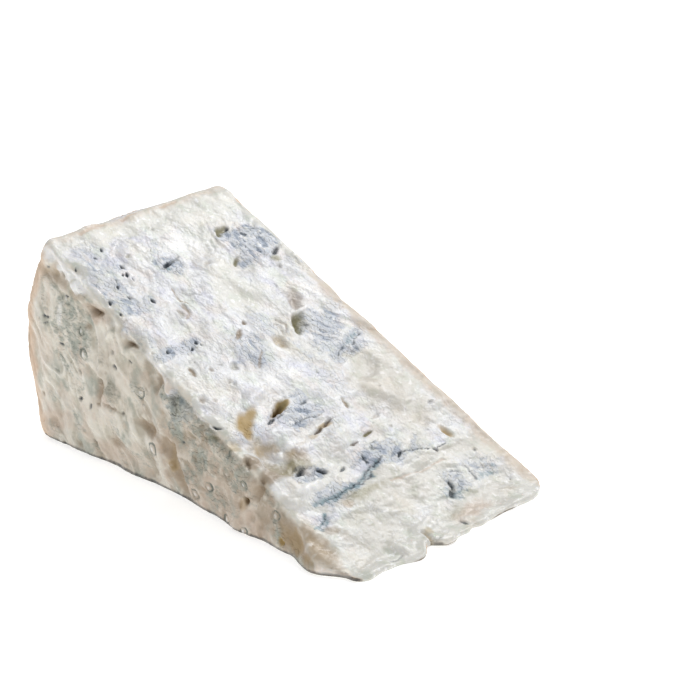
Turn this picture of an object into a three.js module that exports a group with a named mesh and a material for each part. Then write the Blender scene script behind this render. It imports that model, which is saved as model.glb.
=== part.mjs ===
import * as THREE from 'three';
import { mergeVertices } from 'three/addons/utils/BufferGeometryUtils.js';

// A wedge of soft gorgonzola, cut from a wheel and then halved across the wheel's height.
// It lies on one of its two radial cuts. X runs from the curved rind (-X) to the thin edge
// that was the middle of the wheel (+X), Y across the wheel's height, Z up. The sloping top
// is the other radial cut, the -Y side is the level cut that halved the wheel, the +Y side
// is the wheel's flat rind face. The origin is the middle of the bounding box, on the board.

// ---------------------------------------------------------------- driving dimensions, mm
const WEDGE_ANGLE = 26.6;                     // degrees between the two radial cuts
const HIGH_EDGE = { x: -64.7, z: 70.1 };      // where the sloping cut meets the rind
const RIND_FOOT_X = -70.0;                    // where the rind meets the board
const RIND_BULGE = 9.3;                       // how far the rind curves out past its chord
const NOSE_X = 80.8;                          // front of the blunt thin edge
const NOSE_THICKNESS = 2.2;                   // thickness the cut flattens out to there
const NOSE_SPREAD = 3.0;                      // how softly it flattens out
const SIDE_FRONT_X = 75.0;                    // where the sides' front measure is taken
const SIDE_Y = {                              // the two sides, at the high edge and there
  level: [-38.9, -44.7],
  flat: [41.4, 45.6],
};
const CORNER_RADIUS = {                       // upright corners, seen from above
  rindLevel: 5.0, rindFlat: 4.0, noseLevel: 6.0, noseFlat: 12.0,
};
const EDGE_RADIUS = { level: 4.5, flat: 1.6, rind: 3.0, foot: 1.4 };
const CORE = { depth: 8.0, share: 0.45 };     // surface points are pushed out from a core this
                                              // deep, or this share of the height if less
const FRAME_SHIFT = { x: -2.66, y: 2.04 };    // brings the middle of the box to the origin

// Hollows reach this far off their face, and stay shallower close to an edge: a least
// depth, a growth with the distance, and a share of the height over the board.
const HOLLOW_REACH = 9.0;
const HOLLOW_ROOM = { least: 1.5, growth: 0.6, share: 0.4 };

// Swells of the soft paste: height, and the length of one swell.
const CUT_SWELL = { height: 0.42, length: 17.0, fine: 0.2, fineLength: 8.5 };
const LEVEL_SWELL = { height: 0.4, length: 21.0 };
const RIND_SWELL = { height: 0.34, length: 26.0 };

// Hollows in the sloping cut, each from one point to another: [up the slope from the thin
// edge, across], with the width and the depth.
const CUT_HOLLOWS = [
  { name: 'olive pocket by the rind', from: [138.0, 26.5], to: [134.0, 20.5], width: 6.0, depth: 1.8 },
  { name: 'cleft by the flat side', from: [122.0, 38.0], to: [119.5, 32.5], width: 5.0, depth: 1.3 },
  { name: 'D-shaped pocket', from: [93.0, 21.0], to: [87.5, 16.5], width: 8.4, depth: 3.4 },
  { name: 'soft hollow beside it', from: [102.0, 24.0], to: [96.0, 23.0], width: 11.0, depth: 2.4 },
  { name: 'ochre pocket', from: [89.0, 7.0], to: [84.0, 6.5], width: 5.6, depth: 1.9 },
  { name: 'short teal cleft', from: [131.0, -3.0], to: [129.0, -8.5], width: 4.4, depth: 1.3 },
  { name: 'deep slit', from: [65.8, -9.0], to: [61.0, -20.5], width: 6.8, depth: 3.0 },
  { name: 'narrow slit', from: [53.2, -1.0], to: [50.0, -12.0], width: 4.4, depth: 1.1 },
  { name: 'blue-black slit', from: [40.5, -24.5], to: [38.0, -31.5], width: 5.6, depth: 1.8 },
  { name: 'hooked pocket', from: [13.0, 13.8], to: [8.5, 10.5], width: 5.6, depth: 1.5 },
  { name: 'blade hollow', from: [68.0, -23.5], to: [57.5, -38.0], width: 8.0, depth: 2.9 },
  { name: 'slump by the level side', from: [46.0, -24.0], to: [42.0, -41.0], width: 11.0, depth: 2.7 },
  { name: 'slump foot', from: [53.0, -34.0], to: [49.0, -42.0], width: 6.0, depth: 1.6 },
  { name: 'small dent', from: [85.0, -14.0], to: [83.5, -16.0], width: 5.0, depth: 0.9 },
  { name: 'long fold', from: [25.0, -4.0], to: [23.0, -30.0], width: 6.5, depth: 0.9 },
  { name: 'fold by the thin edge', from: [9.0, 4.0], to: [4.0, 22.0], width: 7.0, depth: 0.8 },
  { name: 'dip in the high edge', from: [155.0, 29.0], to: [155.0, 34.0], width: 7.0, depth: 1.2 },
  { name: 'worn stretch of the flat edge', from: [101.0, 43.5], to: [86.0, 43.5], width: 8.0, depth: 1.5 },
];

// Raised lumps on the same cut.
const CUT_LUMPS = [
  { name: 'lump above the slit', from: [72.0, -12.0], to: [70.0, -27.0], width: 8.0, depth: -1.1 },
  { name: 'lump below the slit', from: [57.0, -20.0], to: [54.0, -30.0], width: 7.0, depth: -1.0 },
  { name: 'white ridge', from: [33.0, -24.0], to: [33.5, -36.0], width: 7.0, depth: -1.4 },
  { name: 'ridge by the D-pocket', from: [95.0, 15.0], to: [88.0, 11.0], width: 6.0, depth: -0.8 },
  { name: 'corner of the high edge', from: [154.0, 38.0], to: [150.0, 38.5], width: 7.0, depth: -0.8 },
  { name: 'thin edge lobe', from: [-1.0, -20.0], to: [3.0, -23.0], width: 9.0, depth: -1.3 },
];

// Hollows in the level cut: [along X, up].
const LEVEL_HOLLOWS = [
  { name: 'pit under the edge', from: [-43.0, 51.5], to: [-34.0, 53.0], width: 8.0, depth: 3.0 },
  { name: 'scoop under the edge', from: [-27.0, 45.0], to: [-17.0, 47.0], width: 8.0, depth: 2.4 },
  { name: 'scoop by the rind', from: [-58.0, 60.0], to: [-51.0, 60.5], width: 7.5, depth: 2.0 },
  { name: 'upright dent', from: [-38.0, 31.0], to: [-38.0, 22.5], width: 7.0, depth: 2.1 },
  { name: 'crease', from: [-37.0, 22.0], to: [-25.0, 21.5], width: 4.6, depth: 1.2 },
  { name: 'long valley', from: [-20.0, 20.0], to: [3.0, 9.0], width: 9.0, depth: 1.7 },
  { name: 'dent under the slump', from: [29.0, 19.5], to: [32.5, 22.5], width: 6.0, depth: 1.5 },
  { name: 'soft dent', from: [36.0, 16.0], to: [37.5, 20.0], width: 7.0, depth: 1.5 },
  { name: 'front scoop', from: [48.0, 9.0], to: [64.0, 6.0], width: 9.0, depth: 2.0 },
  { name: 'low blotch', from: [-36.0, 10.5], to: [-26.0, 11.5], width: 8.0, depth: 0.9 },
  { name: 'rounded bulge', from: [-31.5, 29.0], to: [-31.0, 25.5], width: 10.0, depth: -1.5 },
  { name: 'edge lobe', from: [18.0, 31.0], to: [22.0, 29.5], width: 7.0, depth: -1.2 },
  { name: 'second edge lobe', from: [39.0, 20.0], to: [42.0, 18.0], width: 6.0, depth: -1.0 },
];

// How the foot of the level side wanders in and out along X: [x, outward, half length].
const FOOT_WANDER = [
  [-36.0, -1.2, 16.0], [-8.0, -1.6, 20.0], [32.0, 1.8, 18.0], [50.0, 2.0, 12.0], [63.5, 5.4, 12.0],
];

// How the thin edge wanders along Y: [y, outward, half length].
const NOSE_WANDER = [
  [-35.0, -1.2, 9.0], [-21.0, 2.0, 7.0], [-12.8, -2.8, 5.0], [-8.0, 1.2, 6.0],
  [3.0, 0.5, 12.0], [5.5, -0.9, 3.0],
];

// Facets: how many along the slope and across it, and the height of one row on the sides.
const ALONG = 68;
const ACROSS = 40;
const LEVEL_ROW = 2.6;
const FLAT_ROW = 3.4;

// ------------------------------------------------------------------- shape of the wedge
const TAN = Math.tan(THREE.MathUtils.degToRad(WEDGE_ANGLE));
const COS = Math.cos(THREE.MathUtils.degToRad(WEDGE_ANGLE));
const SIN = Math.sin(THREE.MathUtils.degToRad(WEDGE_ANGLE));
const THIN_X = HIGH_EDGE.x + HIGH_EDGE.z / TAN;          // where the cut would reach the board

const lerp = THREE.MathUtils.lerp;
const clamp = THREE.MathUtils.clamp;
const step = (low, high, v) => {
  const t = clamp((v - low) / (high - low), 0, 1);
  return t * t * (3 - 2 * t);
};

// The rind is part of a circle in the XZ plane, set by its chord and its bulge.
const RIND = (() => {
  const dx = HIGH_EDGE.x - RIND_FOOT_X;
  const chord = Math.hypot(dx, HIGH_EDGE.z);
  const radius = (chord * chord / 4 + RIND_BULGE * RIND_BULGE) / (2 * RIND_BULGE);
  const back = radius - RIND_BULGE;
  return {
    radius,
    x: (HIGH_EDGE.x + RIND_FOOT_X) / 2 + back * HIGH_EDGE.z / chord,
    z: HIGH_EDGE.z / 2 - back * dx / chord,
  };
})();

const bump = (v, middle, half) => {
  const t = Math.abs(v - middle) / half;
  return t < 1 ? (1 - t * t) ** 2 : 0;
};
const wander = (list, v) => list.reduce((sum, [middle, out, half]) => sum + out * bump(v, middle, half), 0);

// The two sides, as Y over x. The level side wanders near its foot.
const sideY = (pair, x) => lerp(pair[0], pair[1], (x - HIGH_EDGE.x) / (SIDE_FRONT_X - HIGH_EDGE.x));
const flatY = (x) => sideY(SIDE_Y.flat, x);
const levelY = (x, z) => sideY(SIDE_Y.level, x) - wander(FOOT_WANDER, x) * (1 - step(2, 16, z));

// The front of the thin edge, as X over y.
const noseX = (y) => NOSE_X + wander(NOSE_WANDER, y);

// Height of the sloping cut over x. It flattens out into the blunt thin edge.
function cutHeight(x) {
  const plane = HIGH_EDGE.z - (x - HIGH_EDGE.x) * TAN;
  return 0.5 * (plane + NOSE_THICKNESS + Math.hypot(plane - NOSE_THICKNESS, NOSE_SPREAD));
}

// Where the core lies under the surface: shallower where the wedge is thin.
const coreDepth = (x) => Math.min(CORE.depth, CORE.share * cutHeight(x));

// One end of the wedge from above, 0 at the rind or 1 at the thin edge, with its two rounded
// corners, walked at even speed: how far in from the end and how far across, for t from 0 to 1.
function endOutline(t, levelRadius, flatRadius, end) {
  const width = SIDE_Y.flat[end] - SIDE_Y.level[end];
  const quarter = Math.PI / 2;
  const straight = width - levelRadius - flatRadius;
  const walked = t * (quarter * (levelRadius + flatRadius) + straight);
  if (walked < quarter * levelRadius) {
    const turn = walked / levelRadius;
    return { inset: levelRadius * (1 - Math.sin(turn)), across: levelRadius * (1 - Math.cos(turn)) / width };
  }
  if (walked < quarter * levelRadius + straight) {
    return { inset: 0, across: (levelRadius + walked - quarter * levelRadius) / width };
  }
  const turn = quarter - (walked - quarter * levelRadius - straight) / flatRadius;
  return { inset: flatRadius * (1 - Math.sin(turn)), across: 1 - flatRadius * (1 - Math.cos(turn)) / width };
}

// The wedge with sharp edges, for a from rind to thin edge, b from level side to flat side
// and c from the board to the sloping cut.
function sharpPoint(a, b, c) {
  const rind = endOutline(b, CORNER_RADIUS.rindLevel, CORNER_RADIUS.rindFlat, 0);
  const nose = endOutline(b, CORNER_RADIUS.noseLevel, CORNER_RADIUS.noseFlat, 1);
  const front = noseX(lerp(SIDE_Y.level[1], SIDE_Y.flat[1], nose.across)) - nose.inset;
  const topX = lerp(HIGH_EDGE.x + rind.inset, front, a);
  const footX = lerp(RIND_FOOT_X + rind.inset, front, a);
  const x = lerp(footX, topX, c) - RIND_BULGE * 4 * c * (1 - c) * (1 - a) ** 4;
  const across = lerp(rind.across, nose.across, a);
  const z = cutHeight(topX) * c;
  return new THREE.Vector3(x, lerp(levelY(x, z), flatY(x), across), z);
}

// How deep a point lies inside the outline seen from above, with its rounded upright corners.
function outlineDepth(p) {
  const across = Math.min(p.y - levelY(p.x, p.z), flatY(p.x) - p.y);
  const along = Math.min(RIND.radius - Math.hypot(Math.min(p.x - RIND.x, 0), p.z - RIND.z), noseX(p.y) - p.x);
  const flatward = step(-12, 12, p.y);
  const corner = lerp(
    lerp(CORNER_RADIUS.rindLevel, CORNER_RADIUS.rindFlat, flatward),
    lerp(CORNER_RADIUS.noseLevel, CORNER_RADIUS.noseFlat, flatward), step(-40, 50, p.x));
  return {
    inside: corner - Math.hypot(Math.max(corner - across, 0), Math.max(corner - along, 0)),
    endward: across - along,
  };
}

// Below zero inside the wedge, zero on its skin. Where a side meets the cut or the board the
// edge is rounded, with a larger radius along the level cut than along the flat side.
function skin(p) {
  const height = cutHeight(p.x);
  const under = (height - p.z) * COS;
  const { inside, endward } = outlineDepth(p);
  const room = coreDepth(p.x);
  const sides = lerp(EDGE_RADIUS.level, EDGE_RADIUS.flat, step(-25, 25, p.y));
  const upper = lerp(sides, EDGE_RADIUS.rind, step(-6, 6, endward));
  const lower = Math.min(EDGE_RADIUS.foot, room);
  const cutRadius = Math.min(upper, room);
  const sideRadius = lerp(lower, cutRadius, step(0.1, 0.5, p.z / height));
  return Math.max(0, 1 - inside / sideRadius) ** 2 + Math.max(0, 1 - under / cutRadius) ** 2
    + Math.max(0, 1 - p.z / lower) ** 2 - 1;
}

// The direction in which a measure of a point grows fastest.
function gradient(measure, p) {
  const e = 0.02;
  const q = new THREE.Vector3();
  const slope = (axis) => {
    q.copy(p)[axis] += e;
    const ahead = measure(q);
    q.copy(p)[axis] -= e;
    return ahead - measure(q);
  };
  return new THREE.Vector3(slope('x'), slope('y'), slope('z')).normalize();
}

// The point of the core under a point of the sharp wedge.
function corePoint(sharp) {
  const depth = coreDepth(sharp.x);
  const inward = gradient((q) => outlineDepth(q).inside, sharp);
  const core = sharp.clone().addScaledVector(inward, Math.max(0, depth - outlineDepth(sharp).inside));
  const height = cutHeight(core.x);
  const margin = Math.min(depth, CORE.share * height);
  core.z = clamp(core.z, margin, height - margin);
  return core;
}

// Pushes a point of the sharp wedge out from the core until it lies on the rounded skin.
function skinPoint(a, b, c) {
  const sharp = sharpPoint(a, b, c);
  const core = corePoint(sharp);
  const way = sharp.clone().sub(core);
  let low = 0, high = 1.6;
  const at = new THREE.Vector3();
  for (let i = 0; i < 30; i++) {
    const mid = (low + high) / 2;
    at.copy(core).addScaledVector(way, mid);
    if (skin(at) < 0) low = mid; else high = mid;
  }
  return at.copy(core).addScaledVector(way, (low + high) / 2);
}

// ----------------------------------------------------------------------- relief on the skin

// A gentle unevenness of about unit height: waves of one mean length in evenly spread directions.
function swell(p, length, seed) {
  const count = 7;
  let sum = 0;
  for (let k = 0; k < count; k++) {
    const up = 1 - 2 * (k + 0.5) / count;
    const flat = Math.sqrt(1 - up * up);
    const turn = k * 2.399963 + seed * 1.7;
    const rate = 2 * Math.PI / length * (0.75 + 0.5 * ((k * 0.618034 + seed * 0.31) % 1));
    const phase = 2 * Math.PI * ((k * 0.754878 + seed * 0.56984) % 1);
    sum += Math.sin((p.x * flat * Math.cos(turn) + p.y * flat * Math.sin(turn) + p.z * up) * rate + phase);
  }
  return sum / Math.sqrt(count / 2);
}

// One hollow at the place (u, w) on its face, off being the distance from that face.
function hollow(h, u, w, off) {
  const [u0, w0] = h.from;
  const du = h.to[0] - u0, dw = h.to[1] - w0;
  const run = Math.hypot(du, dw) || 1;
  const along = ((u - u0) * du + (w - w0) * dw) / run;
  const half = run / 2 + h.width * 0.35;
  const ea = (along - run / 2) / half;
  const eb = ((u - u0) * dw - (w - w0) * du) / run / (h.width / 2);
  const q = ea * ea + eb * eb + (off / HOLLOW_REACH) ** 2;
  return q < 1 ? -h.depth * (1 - q) * (1 - q) * (1 + q) : 0;
}

// Height of the relief at a point of the skin, outward.
function relief(p, normal) {
  const slope = (THIN_X - p.x) * COS + p.z * SIN;
  const offCut = (cutHeight(p.x) - p.z) * COS;
  const offLevel = p.y - levelY(p.x, p.z);
  const onCut = step(0.45, 0.85, normal.x * SIN + normal.z * COS);
  const onLevel = step(0.45, 0.85, -normal.y);
  const thin = step(4, 30, cutHeight(p.x));
  let height = onCut * CUT_SWELL.height * swell(p, CUT_SWELL.length, 1);
  height += onCut * CUT_SWELL.fine * swell(p, CUT_SWELL.fineLength, 2);
  height += onLevel * LEVEL_SWELL.height * thin * swell(p, LEVEL_SWELL.length, 3);
  height += (1 - onCut) * (1 - onLevel) * RIND_SWELL.height * thin * swell(p, RIND_SWELL.length, 4);
  for (const h of CUT_HOLLOWS) height += hollow(h, slope, p.y, offCut);
  for (const h of CUT_LUMPS) height += hollow(h, slope, p.y, offCut);
  for (const h of LEVEL_HOLLOWS) height += hollow(h, p.x, p.z, offLevel);
  const inland = Math.max(offCut, offLevel, 0);
  const room = Math.min(HOLLOW_ROOM.least + HOLLOW_ROOM.growth * inland, HOLLOW_ROOM.share * cutHeight(p.x));
  return height < 0 ? -room * Math.tanh(-height / room) : height;
}

// A finished point of the surface. The underside stays flat on the board.
function surfacePoint(a, b, c) {
  const p = skinPoint(a, b, c);
  const n = gradient(skin, p);
  const height = relief(p, n);
  if (n.z < 0) n.z *= step(2, 6, p.z);
  p.addScaledVector(n, height);
  p.z = Math.max(p.z, 0.15);
  return p;
}

// ------------------------------------------------------------------------------ the surface
const triangles = [];
const face = (...corners) => triangles.push(...corners);

// A strip between two columns of points with different counts.
function zip(left, right) {
  let i = 0, j = 0;
  while (i < left.length - 1 || j < right.length - 1) {
    const stepLeft = (i + 1) / (left.length - 1), stepRight = (j + 1) / (right.length - 1);
    if (j >= right.length - 1 || (i < left.length - 1 && stepLeft <= stepRight)) {
      face(left[i], right[j], left[++i]);
    } else {
      face(left[i], right[j], right[++j]);
    }
  }
}

const column = (a, b, rows) => Array.from({ length: rows + 1 }, (_, k) => surfacePoint(a, b, k / rows));
const rowsAt = (a, rowHeight) => Math.max(2, Math.round(cutHeight(lerp(HIGH_EDGE.x, NOSE_X, a)) / rowHeight));
const rindRows = rowsAt(0, LEVEL_ROW), noseRows = 2;

// The level side, the flat side, the rind and the thin edge, as columns standing on the board.
const levelColumns = [], flatColumns = [];
for (let i = 0; i <= ALONG; i++) {
  const a = i / ALONG;
  const end = i === 0 ? rindRows : i === ALONG ? noseRows : 0;
  levelColumns.push(column(a, 0, end || rowsAt(a, LEVEL_ROW)));
  flatColumns.push(column(a, 1, end || rowsAt(a, FLAT_ROW)));
}
for (let i = 0; i < ALONG; i++) {
  zip(levelColumns[i], levelColumns[i + 1]);
  zip(flatColumns[i + 1], flatColumns[i]);
}
const rindColumns = [], noseColumns = [];
for (let j = 0; j <= ACROSS; j++) {
  rindColumns.push(column(0, j / ACROSS, rindRows));
  noseColumns.push(column(1, j / ACROSS, noseRows));
}
for (let j = 0; j < ACROSS; j++) {
  zip(rindColumns[j + 1], rindColumns[j]);
  zip(noseColumns[j], noseColumns[j + 1]);
}

// The sloping cut, as a grid between the four top edges.
const cut = [];
for (let i = 0; i <= ALONG; i++) {
  cut.push(Array.from({ length: ACROSS + 1 }, (_, j) => surfacePoint(i / ALONG, j / ACROSS, 1)));
}
for (let i = 0; i < ALONG; i++) {
  for (let j = 0; j < ACROSS; j++) {
    const [p, q, r, s] = [cut[i][j], cut[i + 1][j], cut[i + 1][j + 1], cut[i][j + 1]];
    if (p.distanceTo(r) < q.distanceTo(s)) face(p, q, r, p, r, s);
    else face(p, q, s, q, r, s);
  }
}

// The underside: a narrow rounded border that turns onto the board, and one flat face.
const foot = [
  ...levelColumns.map((c) => c[0]),
  ...noseColumns.slice(1).map((c) => c[0]),
  ...flatColumns.slice(0, ALONG).reverse().map((c) => c[0]),
  ...rindColumns.slice(1, ACROSS).reverse().map((c) => c[0]),
];
const sole = foot.map((p, k) => {
  const before = foot[(k + foot.length - 1) % foot.length], after = foot[(k + 1) % foot.length];
  const run = new THREE.Vector2(after.x - before.x, after.y - before.y).normalize();
  const inward = EDGE_RADIUS.foot * 0.6;
  return new THREE.Vector3(p.x - run.y * inward, p.y + run.x * inward, 0);
});
for (let k = 0; k < foot.length; k++) {
  const n = (k + 1) % foot.length;
  face(foot[k], sole[k], sole[n], foot[k], sole[n], foot[n]);
}
for (const [p, q, r] of THREE.ShapeUtils.triangulateShape(sole.map((s) => new THREE.Vector2(s.x, s.y)), [])) {
  face(sole[p], sole[r], sole[q]);
}

// ----------------------------------------------------------------------------- the one mesh
const wedgeGeometry = mergeVertices(new THREE.BufferGeometry().setFromPoints(triangles), 1e-3);
wedgeGeometry.translate(FRAME_SHIFT.x, FRAME_SHIFT.y, 0);
wedgeGeometry.computeVertexNormals();

const cheeseMaterial = new THREE.MeshStandardMaterial({ color: 0xdfdcd2, roughness: 0.45, metalness: 0 });
const wedge = new THREE.Mesh(wedgeGeometry, cheeseMaterial);
wedge.name = 'cheese_wedge';

const part = new THREE.Group();
part.add(wedge);

export default part;
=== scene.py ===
"""The looks of a wedge of soft gorgonzola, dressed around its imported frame.

The wedge lies on one of its two radial cuts. The sloping top is the other radial cut, the left
side is the level cut that halved the wheel, the right side is the wheel's flat rind face and the
curved end is its rind. Every size is in millimetres in the wedge's own frame: X runs from the
rind to the thin edge, Y across the wheel's height, Z up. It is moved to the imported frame, in
metres, only when the mesh is made.
"""

import logging
import math
from collections.abc import Callable
from dataclasses import dataclass
from enum import Enum

import bpy
import numpy as np
from mathutils import Matrix, Vector
from mathutils.geometry import delaunay_2d_cdt


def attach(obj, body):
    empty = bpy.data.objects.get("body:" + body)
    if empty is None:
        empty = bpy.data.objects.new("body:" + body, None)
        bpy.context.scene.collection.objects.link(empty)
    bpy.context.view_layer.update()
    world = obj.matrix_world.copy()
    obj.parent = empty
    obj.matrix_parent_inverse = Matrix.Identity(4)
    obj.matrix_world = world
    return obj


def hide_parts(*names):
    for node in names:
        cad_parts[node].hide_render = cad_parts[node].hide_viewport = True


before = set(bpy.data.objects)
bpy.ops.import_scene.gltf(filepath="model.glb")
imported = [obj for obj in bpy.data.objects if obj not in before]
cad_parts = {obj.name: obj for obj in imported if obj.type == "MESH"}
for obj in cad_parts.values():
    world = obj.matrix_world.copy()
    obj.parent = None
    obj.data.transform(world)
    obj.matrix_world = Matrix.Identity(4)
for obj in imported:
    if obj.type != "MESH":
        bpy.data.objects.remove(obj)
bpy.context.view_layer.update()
METRES = 0.001

Array = np.ndarray
Number = float | Array
Row = tuple[float, ...]
Pair = tuple[float, float]
Triple = tuple[float, float, float]
Colour = tuple[float, float, float, float]
Socket = bpy.types.NodeSocket
log = logging.getLogger("cheese")


# ---- small maths
def smooth(low: float, high: float, value: Number) -> Number:
    """Rise from 0 at low to 1 at high, level at both ends."""
    t = np.clip((value - low) / (high - low), 0.0, 1.0)
    return t * t * (3.0 - 2.0 * t)


def lerp(first: Number, second: Number, t: Number) -> Number:
    """Blend from first to second as t goes from 0 to 1."""
    return first + (second - first) * t


def srgb(red: int, green: int, blue: int) -> Colour:
    """Turn a colour in screen values into the linear one that a shader takes.

    Args:
        red, green, blue: from 0 to 255.

    Returns:
        The colour, fully opaque.
    """
    line = [c / 255 for c in (red, green, blue)]
    linear = [c / 12.92 if c <= 0.04045 else ((c + 0.055) / 1.055) ** 2.4 for c in line]
    return (*linear, 1.0)


class Grain:
    """Seeded solid noise on points, one row of three each, the same on every run."""

    PRIMES = (0x9E3779B1, 0x85EBCA77, 0xC2B2AE3D)
    SEED_PRIME = 0x27D4EB2F
    MIXERS = ((15, 0x2C1B3C6D), (12, 0x297A2D39))
    MASK = np.uint64(0xFFFFFFFF)
    SHARE_BITS = 10
    SHARE_TOP = 1023
    NAMES = 997
    SWIRL_GAIN = 1.7
    WAVES = 7
    GOLDEN_TURN = 2.399963
    GOLDEN_SHARE = 0.618034
    PLASTIC_SHARES = (0.754878, 0.56984)

    @classmethod
    def chance(cls, cell: Array, seed: int) -> Array:
        """Draw one fixed 32-bit number for each lattice cell.

        Args:
            cell: whole-number cell places.
            seed: which draw this is.

        Returns:
            One number from 0 to 2**32 - 1 for each row.
        """
        whole = cell.astype(np.int64).astype(np.uint64)
        mixed = np.full(len(cell), seed * cls.SEED_PRIME % 2**32, np.uint64)
        for axis, prime in enumerate(cls.PRIMES):
            mixed = (mixed ^ (whole[:, axis] * np.uint64(prime))) & cls.MASK
            for shift, factor in cls.MIXERS:
                mixed = ((mixed ^ (mixed >> np.uint64(shift))) * np.uint64(factor)) & cls.MASK
        return mixed ^ (mixed >> np.uint64(cls.MIXERS[0][0]))

    @classmethod
    def shares(cls, draw: Array) -> Array:
        """Split each draw into three numbers from 0 to 1."""
        parts = [draw >> np.uint64(cls.SHARE_BITS * k) & np.uint64(cls.SHARE_TOP) for k in range(3)]
        return np.stack(parts, 1) / float(cls.SHARE_TOP)

    @classmethod
    def swirl(cls, places: Array, length: float, seed: int) -> Array:
        """Smooth noise of about -1 to 1.

        Args:
            places: the points.
            length: how far apart its humps are.
            seed: which noise this is.

        Returns:
            One value for each point.
        """
        q = places / length
        cell = np.floor(q)
        f = q - cell
        ease = f * f * f * (f * (f * 6.0 - 15.0) + 10.0)
        total = np.zeros(len(q))
        for corner in np.ndindex(2, 2, 2):
            shift = np.array(corner, float)
            slope = cls.shares(cls.chance(cell + shift, seed)) * 2.0 - 1.0
            weight = np.prod(np.where(shift > 0, ease, 1.0 - ease), axis=1)
            total += weight * np.einsum("ij,ij->i", slope, f - shift)
        return total * cls.SWIRL_GAIN

    @classmethod
    def cloud(cls, low: float, high: float, places: Array, length: float, seed: int) -> Array:
        """Patches of swirl: 0 where it is below low, 1 where it is above high."""
        return smooth(low, high, cls.swirl(places, length, seed))

    @classmethod
    def stirred(cls, places: Array, length: float, amount: float, seed: int) -> Array:
        """Move points along slow eddies, so that what is drawn on them looks stirred.

        Args:
            places: the points.
            length: size of the eddies.
            amount: how far points are moved at most, roughly.
            seed: which eddies these are.

        Returns:
            The moved points.
        """
        return places + amount * np.stack([cls.swirl(places, length, seed + k) for k in range(3)], 1)

    @classmethod
    def folds(cls, places: Array, length: float, seed: int) -> Array:
        """Rounded lumps with sharp creases between them, of about -0.3 at a crease to 0.7."""
        return np.abs(cls.swirl(places, length, seed)) - 0.3

    @classmethod
    def curds(cls, places: Array, length: float, seed: int) -> tuple[Array, Array]:
        """Find the nearest of scattered curd centres.

        Args:
            places: the points.
            length: how far apart the centres are.
            seed: which scatter this is.

        Returns:
            The distance to that centre, in lengths, and a fixed number of its own from 0 to 1.
        """
        q = places / length
        cell = np.floor(q)
        nearest = np.full(len(q), 9.0)
        name = np.zeros(len(q))
        for offset in np.ndindex(3, 3, 3):
            there = cell + np.array(offset, float) - 1.0
            draw = cls.chance(there, seed)
            away = np.linalg.norm(there + cls.shares(draw) - q, axis=1)
            closer = away < nearest
            name = np.where(closer, (draw % np.uint64(cls.NAMES)) / float(cls.NAMES), name)
            nearest = np.where(closer, away, nearest)
        return nearest, name

    @classmethod
    def swell(cls, places: Array, length: float, seed: int) -> Array:
        """A gentle unevenness of about unit height, from waves in evenly spread directions.

        Args:
            places: the points.
            length: mean length of one swell.
            seed: which unevenness this is.

        Returns:
            One value for each point.
        """
        total = np.zeros(len(places))
        for k in range(cls.WAVES):
            up = 1 - 2 * (k + 0.5) / cls.WAVES
            flat = math.sqrt(1 - up * up)
            turn = k * cls.GOLDEN_TURN + seed * 1.7
            rate = 2 * math.pi / length * (0.75 + 0.5 * ((k * cls.GOLDEN_SHARE + seed * 0.31) % 1))
            phase = 2 * math.pi * ((k * cls.PLASTIC_SHARES[0] + seed * cls.PLASTIC_SHARES[1]) % 1)
            way = np.array([flat * math.cos(turn), flat * math.sin(turn), up])
            total += np.sin(places @ way * rate + phase)
        return total / math.sqrt(cls.WAVES / 2)


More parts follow.
